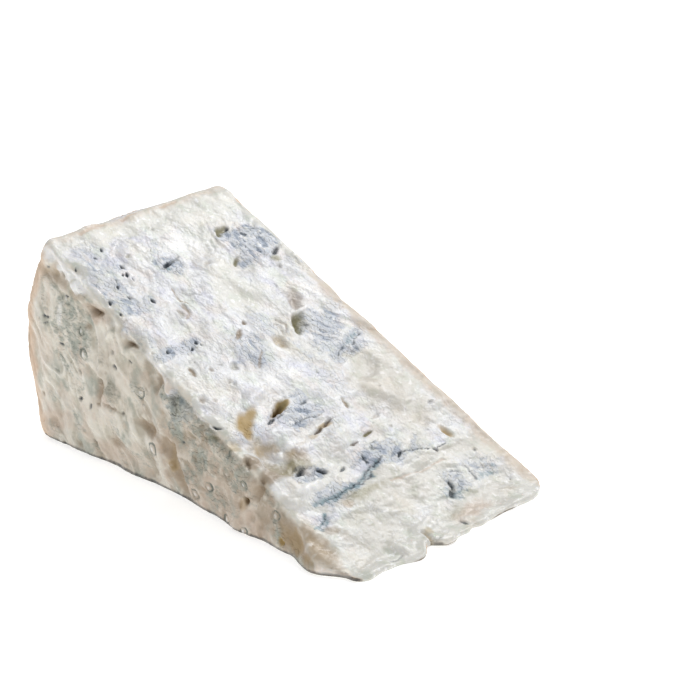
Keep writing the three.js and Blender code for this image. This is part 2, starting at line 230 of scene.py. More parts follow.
# ---- the plain wedge
@dataclass(frozen=True)
class WedgeForm:
    """The form of the wedge without its relief: flat cuts, curved rind, rounded edges.

    Where a field holds two numbers for a side, they are at the high edge and near the thin
    edge. Where it holds two for a corner, they are at the level side and at the flat side.
    """

    wedge_angle: float = 26.6
    high_edge: Pair = (-64.7, 70.1)
    rind_foot_x: float = -70.0
    rind_bulge: float = 9.3
    nose_x: float = 80.8
    nose_thickness: float = 1.5
    nose_spread: float = 2.7
    side_front_x: float = 75.0
    level_side: Pair = (-38.9, -44.7)
    flat_side: Pair = (41.4, 45.6)
    rind_corner: Pair = (5.0, 4.0)
    nose_corner: Pair = (6.0, 12.0)
    level_edge: float = 4.5
    flat_edge: float = 1.6
    rind_edge: float = 3.0
    foot_edge: float = 1.4
    core_depth: float = 8.0
    core_share: float = 0.45
    foot_fade: Pair = (2, 16)
    frame_shift: Triple = (-2.66, 2.04, 0.0)
    foot_wander: tuple[Triple, ...] = (
        (-36.0, -1.2, 16.0), (-8.0, -1.6, 20.0), (32.0, 1.8, 18.0), (50.0, 2.0, 12.0),
        (63.5, 5.4, 12.0))
    nose_wander: tuple[Triple, ...] = (
        (-35.0, -1.2, 9.0), (-21.0, 2.0, 7.0), (-12.8, -2.8, 5.0), (-8.0, 1.2, 6.0),
        (3.0, 0.5, 12.0), (5.5, -0.9, 3.0))
    halvings: int = 30
    probe: float = 0.02

    @property
    def tangent(self) -> float:
        """Rise of the sloping cut for each millimetre along the board."""
        return math.tan(math.radians(self.wedge_angle))

    @property
    def cut_normal(self) -> Array:
        """The way the sloping cut faces."""
        angle = math.radians(self.wedge_angle)
        return np.array([math.sin(angle), 0.0, math.cos(angle)])

    @property
    def thin_x(self) -> float:
        """Where the sloping cut would reach the board."""
        return self.high_edge[0] + self.high_edge[1] / self.tangent

    @property
    def rind_circle(self) -> Triple:
        """The arc of the rind.

        Returns:
            Its radius, with the X and the Z of its centre.
        """
        dx = self.high_edge[0] - self.rind_foot_x
        chord = math.hypot(dx, self.high_edge[1])
        radius = (chord * chord / 4 + self.rind_bulge**2) / (2 * self.rind_bulge)
        back = radius - self.rind_bulge
        x = (self.high_edge[0] + self.rind_foot_x) / 2 + back * self.high_edge[1] / chord
        return radius, x, self.high_edge[1] / 2 - back * dx / chord

    @staticmethod
    def wander(bumps: tuple[Triple, ...], value: Array) -> Array:
        """Sum the bumps of an edge that wanders.

        Args:
            bumps: middle, height and half length of each bump.
            value: places along the edge.

        Returns:
            How far out the edge is at each place.
        """
        total = np.zeros_like(value)
        for middle, out, half in bumps:
            t = np.minimum(np.abs(value - middle) / half, 1.0)
            total += out * (1.0 - t * t) ** 2
        return total

    def side_y(self, pair: Pair, x: Array) -> Array:
        """Y of a side over X, without its wander."""
        start = self.high_edge[0]
        return lerp(*pair, (x - start) / (self.side_front_x - start))

    def level_y(self, x: Array, z: Array) -> Array:
        """Y of the level side, whose foot wanders."""
        low = 1 - smooth(*self.foot_fade, z)
        return self.side_y(self.level_side, x) - self.wander(self.foot_wander, x) * low

    def nose_at(self, y: Array) -> Array:
        """X of the thin edge over Y."""
        return self.nose_x + self.wander(self.nose_wander, y)

    def cut_height(self, x: Number) -> Number:
        """Height of the sloping cut, flattening out into the blunt thin edge.

        Args:
            x: places from the rind to the thin edge.

        Returns:
            The height over each place.
        """
        plane = self.high_edge[1] - (x - self.high_edge[0]) * self.tangent
        least = self.nose_thickness
        return 0.5 * (plane + least + np.hypot(plane - least, self.nose_spread))

    def off_cut(self, p: Array) -> Array:
        """Depth of points under the sloping cut."""
        return (self.cut_height(p[:, 0]) - p[:, 2]) * self.cut_normal[2]

    def off_level(self, p: Array) -> Array:
        """Distance of points from the level side."""
        return p[:, 1] - self.level_y(p[:, 0], p[:, 2])

    def off_flat(self, p: Array) -> Array:
        """Distance of points from the flat side."""
        return self.side_y(self.flat_side, p[:, 0]) - p[:, 1]

    def off_rind(self, p: Array) -> Array:
        """Distance of points from the arc of the rind."""
        radius, centre_x, centre_z = self.rind_circle
        return radius - np.hypot(np.minimum(p[:, 0] - centre_x, 0.0), p[:, 2] - centre_z)

    def core_room(self, x: Array) -> Array:
        """How deep the core lies under the surface, less where the wedge is thin."""
        return np.minimum(self.core_depth, self.core_share * self.cut_height(x))

    def end_outline(self, t: Array, radii: Pair, width: float) -> tuple[Array, Array]:
        """Walk one end of the wedge, seen from above, round both its corners at even speed.

        Args:
            t: how far along the walk, 0 at the level side and 1 at the flat side.
            radii: the corner radii at the level side and the flat side.
            width: distance between the two sides there.

        Returns:
            How far in from the end each place is, and how far across, from 0 to 1.
        """
        quarter = math.pi / 2
        level, flat = radii
        straight = width - level - flat
        walked = t * (quarter * (level + flat) + straight)
        first = np.clip(walked / level, 0.0, quarter)
        last = np.clip(quarter - (walked - quarter * level - straight) / flat, 0.0, quarter)
        inset = level * (1 - np.sin(first)) + flat * (1 - np.sin(last))
        middle = level + walked - quarter * level
        across = np.where(walked < quarter * level, level * (1 - np.cos(first)), middle)
        across = np.where(last < quarter, width - flat * (1 - np.cos(last)), across)
        return inset, across / width

    def sharp_point(self, a: Array, b: Array, c: Array) -> Array:
        """Points of the wedge with sharp edges.

        Args:
            a: from the rind, 0, to the thin edge, 1.
            b: from the level side to the flat side.
            c: from the board to the sloping cut.

        Returns:
            One row of X, Y and Z for each point.
        """
        widths = [self.flat_side[k] - self.level_side[k] for k in range(2)]
        rind_inset, rind_across = self.end_outline(b, self.rind_corner, widths[0])
        nose_inset, nose_across = self.end_outline(b, self.nose_corner, widths[1])
        front = self.nose_at(lerp(self.level_side[1], self.flat_side[1], nose_across)) - nose_inset
        top_x = lerp(self.high_edge[0] + rind_inset, front, a)
        foot_x = lerp(self.rind_foot_x + rind_inset, front, a)
        x = lerp(foot_x, top_x, c) - self.rind_bulge * 4 * c * (1 - c) * (1 - a) ** 4
        z = self.cut_height(top_x) * c
        y = lerp(self.level_y(x, z), self.side_y(self.flat_side, x), lerp(rind_across, nose_across, a))
        return np.stack([x, y, z], 1)

    def outline_depth(self, p: Array) -> tuple[Array, Array]:
        """Depth of points inside the outline seen from above, with its rounded corners.

        Args:
            p: points, one row each.

        Returns:
            The depth, and how much nearer each point is to an end than to a side.
        """
        x, y = p[:, 0], p[:, 1]
        across = np.minimum(self.off_level(p), self.off_flat(p))
        along = np.minimum(self.off_rind(p), self.nose_at(y) - x)
        flatward, noseward = smooth(-12, 12, y), smooth(-40, 50, x)
        corner = lerp(lerp(*self.rind_corner, flatward), lerp(*self.nose_corner, flatward), noseward)
        depth = corner - np.hypot(np.maximum(corner - across, 0.0), np.maximum(corner - along, 0.0))
        return depth, across - along

    def skin(self, p: Array) -> Array:
        """Measure points against the rounded skin.

        Args:
            p: points, one row each.

        Returns:
            One number for each point: below 0 inside the wedge, 0 on its skin.
        """
        x, y, z = p.T
        under = self.off_cut(p)
        inside, endward = self.outline_depth(p)
        room = self.core_room(x)
        sides = lerp(self.level_edge, self.flat_edge, smooth(-25, 25, y))
        upper = np.minimum(lerp(sides, self.rind_edge, smooth(-6, 6, endward)), room)
        lower = np.minimum(self.foot_edge, room)
        side = lerp(lower, upper, smooth(0.1, 0.5, z / self.cut_height(x)))
        total = np.maximum(0, 1 - inside / side) ** 2 + np.maximum(0, 1 - under / upper) ** 2
        return total + np.maximum(0, 1 - z / lower) ** 2 - 1

    def gradient(self, measure: Callable[[Array], Array], p: Array) -> Array:
        """The unit directions in which a measure of points grows fastest.

        Args:
            measure: a function from points to one number each.
            p: points, one row each.

        Returns:
            One unit row for each point.
        """
        way = np.stack([measure(p + step) - measure(p - step) for step in self.probe * np.eye(3)], 1)
        return way / np.maximum(np.linalg.norm(way, axis=1, keepdims=True), 1e-12)

    def skin_point(self, a: Array, b: Array, c: Array) -> Array:
        """Push points of the sharp wedge out from its core until they lie on the rounded skin.

        Args:
            a, b, c: as for sharp_point.

        Returns:
            One row for each point of the skin.
        """
        sharp = self.sharp_point(a, b, c)
        depth = self.core_room(sharp[:, 0])
        inward = self.gradient(lambda q: self.outline_depth(q)[0], sharp)
        short = np.maximum(0.0, depth - self.outline_depth(sharp)[0])
        core = sharp + inward * short[:, None]
        height = self.cut_height(core[:, 0])
        margin = np.minimum(depth, self.core_share * height)
        core[:, 2] = np.clip(core[:, 2], margin, height - margin)
        low, high = np.zeros(len(a)), np.full(len(a), 1.6)
        for _ in range(self.halvings):
            middle = (low + high) / 2
            inside = self.skin(core + (sharp - core) * middle[:, None]) < 0
            low, high = np.where(inside, middle, low), np.where(inside, high, middle)
        return core + (sharp - core) * ((low + high) / 2)[:, None]


# ---- what the skin shows
class Tint(Enum):
    """What may colour the cheese, each a weight from 0 to 1 on the mesh's points; some weights also paint
    shade, and one paints light.
    """

    MOULD = "mould"
    STREAK = "streak"
    # DARK and UMBER also paint the contact shadow along the foot.
    DARK = "dark"
    TEAL = "teal"
    OLIVE = "olive"
    OCHRE = "ochre"
    UMBER = "umber"
    # Brown stains, and also painted shade in hollows, dents, under edges and on shaded slopes.
    BROWN = "brown"
    # White crumbs and pale paste, and also painted light on rounded edges that lie in shade.
    BRIGHT = "bright"
    CREAM = "cream"
    BLUSH = "blush"
    RING = "ring"
    LEVEL = "level"
    WAX = "wax"
    RIND = "rind"
    # How far a spot stands up: crests show paler paste, and valleys are painted shade.
    CREST_AND_PAINTED_SHADE = "crest"


@dataclass
class Skin:
    """One relief height and one weight of each tint for every point of the surface."""

    height: Array
    paint: dict[Tint, Array]

    @classmethod
    def bare(cls, count: int) -> "Skin":
        """A skin of so many points with neither relief nor tint."""
        return cls(np.zeros(count), {tint: np.zeros(count) for tint in Tint})

    def dab(self, tint: Tint, weight: Array) -> None:
        """Add a tint where it is stronger than what is there."""
        np.maximum(self.paint[tint], weight, out=self.paint[tint])


@dataclass(frozen=True)
class Place:
    """Where points lie on one face: along it, across it, their distance off it, and how much
    they belong to it. Fine and broad warps, each of two rows, make drawn outlines uneven.
    """

    u: Array
    w: Array
    off: Array
    on: Array
    fine: Array
    broad: Array

    def warped(self, fine: float, broad: float) -> tuple[Array, Array]:
        """The flat coordinates, moved by so much of the two warps."""
        return (self.u + fine * self.fine[0] + broad * self.broad[0],
                self.w + fine * self.fine[1] + broad * self.broad[1])


@dataclass(frozen=True)
class Hollow:
    """A hollow from one point of a face to another, or a lump where the depth is negative.

    wall is how much of the way in the wall takes, 1 for a soft dish and less for a steep
    pocket. tone is the weight of its tint, lip the weight of a pale rim, and steep the way
    towards its steep, dark and rimmed side, if it has one.
    """

    start: Pair
    end: Pair
    width: float
    depth: float
    tint: Tint | None = None
    tone: float = 0.9
    wall: float = 0.6
    lip: float = 0.0
    steep: Pair | None = None
    ragged: float = 1.0

    @classmethod
    def table(cls, rows: dict[str, tuple]) -> tuple["Hollow", ...]:
        """Hollows from named rows: the numbers of both points, then the other fields in order."""
        return tuple(cls(row[:2], row[2:4], *row[4:]) for row in rows.values())

    def nearness(self, place: Place, reach: float = 9.0) -> tuple[Array, Array]:
        """Measure points against the hollow.

        Args:
            place: where the points lie on its face.
            reach: how far off the face it still shows.

        Returns:
            How far out each point is, 0 at the middle and 1 at the rim, and how far it is
            towards the steep side, from -1 to 1.
        """
        du, dw = self.end[0] - self.start[0], self.end[1] - self.start[1]
        run = math.hypot(du, dw) or 1.0
        broad = min(1.2, max(0.0, (self.width - 1.5) / 4.5))
        u, w = place.warped(self.ragged * min(1.3, self.width / 2.2), self.ragged * broad)
        u, w = u - self.start[0], w - self.start[1]
        along = ((u * du + w * dw) / run - run / 2) / (run / 2 + self.width * 0.35)
        aside = (u * dw - w * du) / run / (self.width / 2)
        lean = np.ones_like(u)
        if self.steep:
            size = math.hypot(*self.steep)
            way_u, way_w = self.steep[0] / size, self.steep[1] / size
            lean = along * (way_u * du + way_w * dw) / run + aside * (way_u * dw - way_w * du) / run
        return np.sqrt(along**2 + aside**2 + (place.off / reach) ** 2), np.clip(lean, -1.0, 1.0)

    def lay(self, place: Place, skin: Skin) -> None:
        """Press the hollow into the skin and tint it, bare of bright crumbs.

        Args:
            place: where the points lie on its face.
            skin: the skin to change.
        """
        r, lean = self.nearness(place)
        floor = smooth(-1.0, 0.75, lean) * place.on
        dish = 1 - smooth(1 - self.wall, 1.0, r)
        skin.height -= self.depth * dish * (0.15 + 0.85 * floor) * place.on
        if self.tint:
            body = 1 - smooth(0.9 - 0.85 * self.wall, 1.1 + 0.2 * self.wall, r)
            weight = self.tone * body * (0.3 + 0.7 * floor) * place.on
            if self.depth > 0:
                skin.paint[Tint.BRIGHT] *= 1 - 0.9 * weight
            skin.dab(self.tint, weight)
        if self.lip:
            rim = np.exp(-(((r - 1.22) / 0.24) ** 2)) * place.on * smooth(0.1, 0.8, lean)
            skin.height += 0.35 * self.lip * rim
            skin.dab(Tint.BRIGHT, self.lip * rim)


@dataclass(frozen=True)
class Stain:
    """A patch of one tint that dies out unevenly from its firm middle to its edge; most are stains, a few
    painted shade or painted light.
    """

    tint: Tint
    middle: Pair
    radii: Pair
    tone: float
    firm: float = 0.35

    @classmethod
    def table(cls, rows: dict[Tint, tuple[Row, ...]]) -> tuple["Stain", ...]:
        """Patches from rows under their tint: middle, radii, tone and firmness."""
        return tuple(cls(tint, row[:2], row[2:4], *row[4:]) for tint, some in rows.items() for row in some)

    def lay(self, place: Place, skin: Skin) -> None:
        """Tint the skin with the patch.

        Args:
            place: where the points lie on its face.
            skin: the skin to change.
        """
        size = min(self.radii)
        u, w = place.warped(min(2.2, 0.5 * size), min(2.4, 0.3 * size))
        u, w = (u - self.middle[0]) / self.radii[0], (w - self.middle[1]) / self.radii[1]
        r = np.sqrt(u * u + w * w + (place.off / 9.0) ** 2)
        skin.dab(self.tint, self.tone * (1 - smooth(self.firm, 1.3, r)) * place.on)


@dataclass(frozen=True)
class Vein:
    """A thin vein of one tint along a few points, sunk a little."""

    tint: Tint
    points: tuple[Pair, ...]
    width: float
    tone: float
    depth: float = 0.3

    @classmethod
    def table(cls, rows: dict[Tint, tuple[Row, ...]]) -> tuple["Vein", ...]:
        """Veins from rows under their tint: width, tone, then the numbers of the points."""
        return tuple(cls(tint, tuple(zip(row[2::2], row[3::2])), *row[:2])
                     for tint, some in rows.items() for row in some)

    def lay(self, place: Place, skin: Skin) -> None:
        """Tint and press the skin along the vein, which comes and goes.

        Args:
            place: where the points lie on its face.
            skin: the skin to change.
        """
        u, w = place.warped(1.0, 0.4)
        nearest = np.full(len(u), 99.0)
        for (u0, w0), (u1, w1) in zip(self.points, self.points[1:]):
            du, dw = u1 - u0, w1 - w0
            t = np.clip(((u - u0) * du + (w - w0) * dw) / (du * du + dw * dw), 0.0, 1.0)
            nearest = np.minimum(nearest, np.hypot(u - u0 - t * du, w - w0 - t * dw))
        swing = 1.0 + 0.9 * place.fine[0]
        weight = (1 - smooth(0.1, 1.0, nearest / (self.width * swing))) * place.on
        skin.height -= self.depth * weight
        skin.dab(self.tint, self.tone * weight)


@dataclass(frozen=True)
class NeedleMouth:
    """The round mouth of a needle channel: a dark ring round a pale plug of paste."""

    middle: Pair
    radii: Pair
    tone: float

    @classmethod
    def table(cls, *rows: Row) -> tuple["NeedleMouth", ...]:
        """Mouths from rows of middle, radii and tone."""
        return tuple(cls(row[:2], row[2:4], row[4]) for row in rows)

    def lay(self, place: Place, skin: Skin) -> None:
        """Draw the ring into the skin, darker and thicker on one side.

        Args:
            place: where the points lie on its face.
            skin: the skin to change.
        """
        u, w = place.warped(0.5, 0.0)
        u, w = u - self.middle[0], w - self.middle[1]
        reach = np.hypot(u / self.radii[0], w / self.radii[1])
        turn = np.arctan2(w, u) + self.middle[0]
        uneven = 0.84 + 0.16 * np.sin(turn)
        ring = np.exp(-(((reach - 0.86) / (0.25 * uneven)) ** 2)) * place.on * (0.3 + 0.7 * uneven)
        line = np.maximum(0.0, 1 - np.abs(reach - 0.86) / 0.5) * place.on * uneven
        halo = np.exp(-(((reach - 1.4) / 0.3) ** 2)) * place.on
        plug = (1 - smooth(0.2, 0.6, reach)) * place.on
        skin.height += self.tone * (0.25 * plug + 0.2 * halo - 0.4 * ring)
        skin.dab(Tint.RING, self.tone * line)
        skin.dab(Tint.BRIGHT, 0.55 * self.tone * plug)
        skin.dab(Tint.BRIGHT, 0.2 * self.tone * halo)


Mark = Hollow | Vein | NeedleMouth


# ---- the wedge's faces
class CheeseFace:
    """One face of the wedge: how much points belong to it, and what it shows."""

    seed = 0
    stains_and_painted_light: tuple[Stain, ...] = ()

    def __init__(self, form: WedgeForm) -> None:
        """Keep the form that the face lies on."""
        self.form = form

    def spread(self, p: Array, normal: Array) -> tuple[Array, ...]:
        """Flat coordinates of points on the face.

        Args:
            p: points of the skin, one row each.
            normal: the way the skin faces there.

        Returns:
            Along and across the face, the distance off it, and the share that belongs to it.
        """
        raise NotImplementedError

    def place(self, p: Array, normal: Array) -> Place:
        """Place points on the face, with the warps that make its outlines uneven.

        Args:
            p: points of the skin, one row each.
            normal: the way the skin faces there.

        Returns:
            Their places.
        """
        seed = self.seed
        fine = [0.5 * Grain.swirl(p, 2.6, seed + k) + 0.22 * Grain.swirl(p, 1.2, seed + 2 + k)
                for k in range(2)]
        broad = [1.5 * Grain.swirl(p, 8.0, seed + 4 + k) + 0.8 * Grain.swirl(p, 4.2, seed + 6 + k)
                 for k in range(2)]
        return Place(*self.spread(p, normal), np.array(fine), np.array(broad))

    def stoutness(self, p: Array) -> Array:
        """How thick the wedge is at points, from 0 near the thin edge to 1."""
        return smooth(4.0, 30.0, self.form.cut_height(p[:, 0]))

    def marks(self) -> list[Mark]:
        """What is cut or drawn into the face one by one, in its order."""
        raise NotImplementedError

    def texture(self, place: Place, p: Array, skin: Skin) -> None:
        """Lay the unevenness and tints that cover the whole face, over its patches of stain and painted
        light.

        Args:
            place: where the points lie on the face.
            p: the points of the skin.
            skin: the skin to change.
        """
        raise NotImplementedError

    def dress(self, p: Array, normal: Array, skin: Skin) -> None:
        """Add this face's relief and tints to the skin.

        Args:
            p: points of the skin, one row each.
            normal: the way the skin faces there.
            skin: the skin to change.
        """
        mine = np.flatnonzero(self.spread(p, normal)[3] > 1e-3)
        if not len(mine):
            return
        place = self.place(p[mine], normal[mine])
        part = Skin.bare(len(mine))
        for stain in self.stains_and_painted_light:
            stain.lay(place, part)
        self.texture(place, p[mine], part)
        for mark in self.marks():
            mark.lay(place, part)
        skin.height[mine] += part.height
        for tint, weight in part.paint.items():
            skin.paint[tint][mine] = np.maximum(skin.paint[tint][mine], weight)


class CutFace(CheeseFace):
    """The sloping cut, as [up the slope from the thin edge, across]."""

    seed = 100
    small_pits = 56
    pit_field = ((4.0, 150.0), (-39.0, 40.0))
    pit_radius = (0.3, 0.75)
    lip_of_rind = 1.9
    rim_strip = 149.0

    # The brown tints of the soft hollows, the slump's foot and the dents are partly their colour and partly
    # painted shade.
    hollows = Hollow.table({
        "olive pocket by the rind": (138.3, 27, 134, 20.3, 4.4, 2.2, Tint.OLIVE, 1, 0.7, 0, (1, -0.5)),
        "its dark end": (137, 27.5, 135.8, 26, 1.5, 0.8, Tint.DARK, 0.8),
        "cleft by the flat side": (122.3, 38, 119.4, 33, 2.6, 1.4, Tint.DARK, 0.85, 0.8),
        "soft hollow": (104, 25.5, 96, 23, 9, 2.2, Tint.BROWN, 0.85, 1, 0, (-1, 0.1)),
        "D-shaped pocket": (93.6, 22, 87.3, 16, 5.4, 2.9, Tint.OLIVE, 0.95, 0.6, 0.35, (0.8, -1)),
        "ochre pocket": (89, 7.4, 84.2, 6, 4.6, 1.7, Tint.OCHRE, 0.6, 0.8, 0.4, (-1, -0.9)),
        "short teal cleft": (131.3, -2, 129.2, -8.8, 2, 1.5, Tint.DARK, 0.95, 0.8),
        "deep slit": (66.2, -10, 61.3, -20, 4, 4, Tint.OCHRE, 1, 0.7, 0.25, (-1, -0.2)),
        "bottom of the slit": (64.8, -12.4, 61.5, -19.4, 2, 1.4, Tint.UMBER, 1, 0.8),
        "tail of the slit": (61, -19.5, 59.9, -23.5, 1.3, 0.8, Tint.DARK),
        "narrow slit": (53, -1, 51, -8, 1.2, 1.3, Tint.UMBER, 0.7),
        "its end": (51.2, -7, 50.2, -12, 1.5, 1.4, Tint.UMBER, 0.75),
        "short slit": (43.4, 8, 42.3, 3, 1.4, 0.9, Tint.OLIVE, 1),
        "short dark slit": (41.4, 0, 40.9, -5.3, 1.1, 1.1, Tint.UMBER, 0.7),
        "ochre dish": (34.8, 29.8, 29, 31, 3.8, 1.4, Tint.OCHRE, 1, 0.8, 0.3, (-1, -0.5)),
        "hook": (15.5, 15.8, 12, 14.2, 1.5, 1, Tint.DARK, 0.85),
        "hook's pocket": (12.6, 14.6, 8.6, 10.4, 2.8, 2, Tint.DARK, 0.95, 0.9, 0.2, (1, -0.8)),
        "blue-black slit": (40.2, -25.5, 38.2, -31.5, 2.4, 2.2, Tint.DARK, 1, 0.8, 0.2, (1, 0)),
        "blue-black pocket": (38.8, -21.8, 36, -19.2, 2.8, 1.5, Tint.DARK, 0.95, 0.8),
        "small dark pit": (35.4, -12, 34.2, -15.6, 1.3, 0.6, Tint.DARK, 0.85),
        "slit by the edge": (67.3, -40.4, 64.6, -38.8, 1.2, 1.3, Tint.DARK, 1, 0.6, 0.9, (0.4, -1)),
        "notch in the thin edge": (3.5, -9.8, -4, -11.8, 2.2, 1.8, Tint.OCHRE, 0.7, 0.6, 0.6, (0, -1)),
        "nick": (-2.5, 5.2, 0.5, 4.2, 1.2, 0.9, Tint.DARK, 0.7),
        "small dent": (85.4, -13.8, 83.4, -16.9, 4, 0.9, Tint.OLIVE, 0.45, 0.9),
        "blade hollow": (65.6, -27.6, 61.6, -33.4, 6.8, 0.6, Tint.OCHRE, 1, 0.75, 0, None, 0.3),
        "tip of the blade": (67.2, -22.8, 63.8, -30, 5, 0.4, Tint.OCHRE, 0.85, 0.85, 0, None, 0.3),
        "foot of the blade": (62.6, -31.4, 57.4, -33.4, 5, 0.5, Tint.OCHRE, 0.95, 0.85, 0, None, 0.3),
        "slump": (52.5, -27, 42.5, -35, 15, 2, None, 0.9, 1),
        "lump in the slump": (49.8, -26.8, 47.6, -29, 2.2, -0.9, Tint.BRIGHT, 1, 1),
        "second lump in it": (47.5, -21.5, 46.5, -22.8, 1.8, -0.7, Tint.BRIGHT, 0.7, 1),
        "third lump in it": (44, -30.5, 41.5, -31, 2.4, -0.7, Tint.CREAM, 0.9, 1),
        "slump's foot": (45, -39, 40, -45.5, 7, 1.4, Tint.BROWN, 1, 1),
        "dark spot by the edge": (51, -40.5, 48, -42.5, 3.2, 1.6, Tint.UMBER, 0.55, 0.9),
        "brown slit": (44, -40.5, 40, -44, 2.2, 1.4, Tint.UMBER, 0.45, 1),
        "collar over the hollow": (113, -43.5, 100.5, -41, 4.4, -1.2, Tint.CREAM, 1, 1),
        "bent dent": (97, -2.3, 93.2, -7, 1.9, 0.7, Tint.BROWN, 0.85),
        "round dent": (98.8, 0.8, 98, 0.6, 2, 0.6, Tint.BROWN, 0.9),
        "long dent": (114, -12.5, 109, -13.5, 2.2, 0.7, Tint.BROWN, 0.75),
        "pale dent": (111.5, -16.5, 108.5, -17, 2.6, 0.6, Tint.OLIVE, 0.45),
        "lower dent": (90, -30.8, 86, -31.5, 1.9, 0.7, Tint.BROWN, 0.95),
        "shallow dent": (86.5, -25, 85.5, -25.5, 3, 0.6, Tint.BROWN, 0.6, 1),
        "dent by the level side": (77.8, -35.6, 76.5, -36.5, 4.2, 0.8, Tint.BROWN, 0.6, 1),
        "tick": (58.2, 8, 53.5, 6.6, 1.4, 0.6, Tint.BROWN, 0.9),
        "upright tick": (48, 16, 46.8, 10.5, 1.6, 0.5, Tint.BROWN, 0.5),
        "dark tick": (31.8, 10, 29.9, 7, 1.1, 0.9, Tint.DARK, 1),
        "tick by the vein": (26.3, 22, 27.5, 20.5, 1.5, 0.8, Tint.DARK, 0.7),
        "dot": (21.3, 34, 20.8, 33.4, 1.8, 0.7, Tint.DARK, 0.55),
        "small dot": (6.2, 35.8, 6, 35.4, 1.4, 0.6, Tint.DARK, 0.55),
        "olive dip": (124.5, 20.8, 121, 17.3, 1.9, 0.9, Tint.OLIVE, 0.75),
        "olive dot": (138.5, -15.5, 138, -17, 2.2, 0.5, Tint.OLIVE, 0.5),
        "fold": (126.5, 9.5, 124, 6.3, 2.6, 0.8, Tint.BROWN, 0.5, 1),
        "smear": (25, 25, 22, 2, 1.3, 0.45, None, 0.9, 0.9),
        "second smear": (27.6, 20, 26.5, 2, 1.1, 0.4, None, 0.9, 0.9),
        "dip in the high edge": (155, 29, 155, 34, 7, 1.2, None, 0.9, 1),
        "worn flat edge": (101, 43.5, 86, 43.5, 8, 1.5, None, 0.9, 1),
        "lump above the slit": (72, -12, 70, -27, 8, -1.1, None, 0.9, 1),
        "lump by the edge": (97, -39.5, 90, -41, 4.4, -1.3, Tint.BRIGHT, 0.6, 1),
        "second lump by the edge": (84, -42, 78, -42.5, 4, -1.1, Tint.BRIGHT, 0.6, 1),
        "lump below the slit": (57, -20, 54, -30, 7, -1, None, 0.9, 1),
        "white ridge": (33, -24, 33.5, -36, 6.4, -1.5, Tint.BRIGHT, 0.9, 0.9),
        "ridge by the pocket": (95, 15, 88, 11, 6, -0.8, None, 0.9, 1),
        "corner of the high edge": (154, 38, 150, 38.5, 7, -0.8, None, 0.9, 1),
        "lobe of the thin edge": (-1, -20, 3, -23, 9, -1.3, None, 0.9, 1),
        "lip by the pocket": (95.3, 27, 94.8, 21, 1.7, -0.5, Tint.BRIGHT, 0.8),
    })

    # Small pits in the mould: up the slope, across, radius.
    mould_pits = (
        (135.8, -21.1, 1), (131.9, -22.3, 0.9), (132.3, -23.8, 0.6), (119, -21.9, 1.1), (123.6, -27.5, 0.8),
        (142.5, -26.3, 0.7), (145, -22, 0.7), (128.5, -29, 0.8), (140.8, -36.6, 0.5), (117.6, -36.8, 0.6),
        (124, -35.5, 0.8), (129.5, -21, 0.5), (98.2, -20.3, 0.8), (96.6, -19.8, 0.6), (96.8, -23.7, 0.7),
        (98.8, -32.6, 0.7),
    )

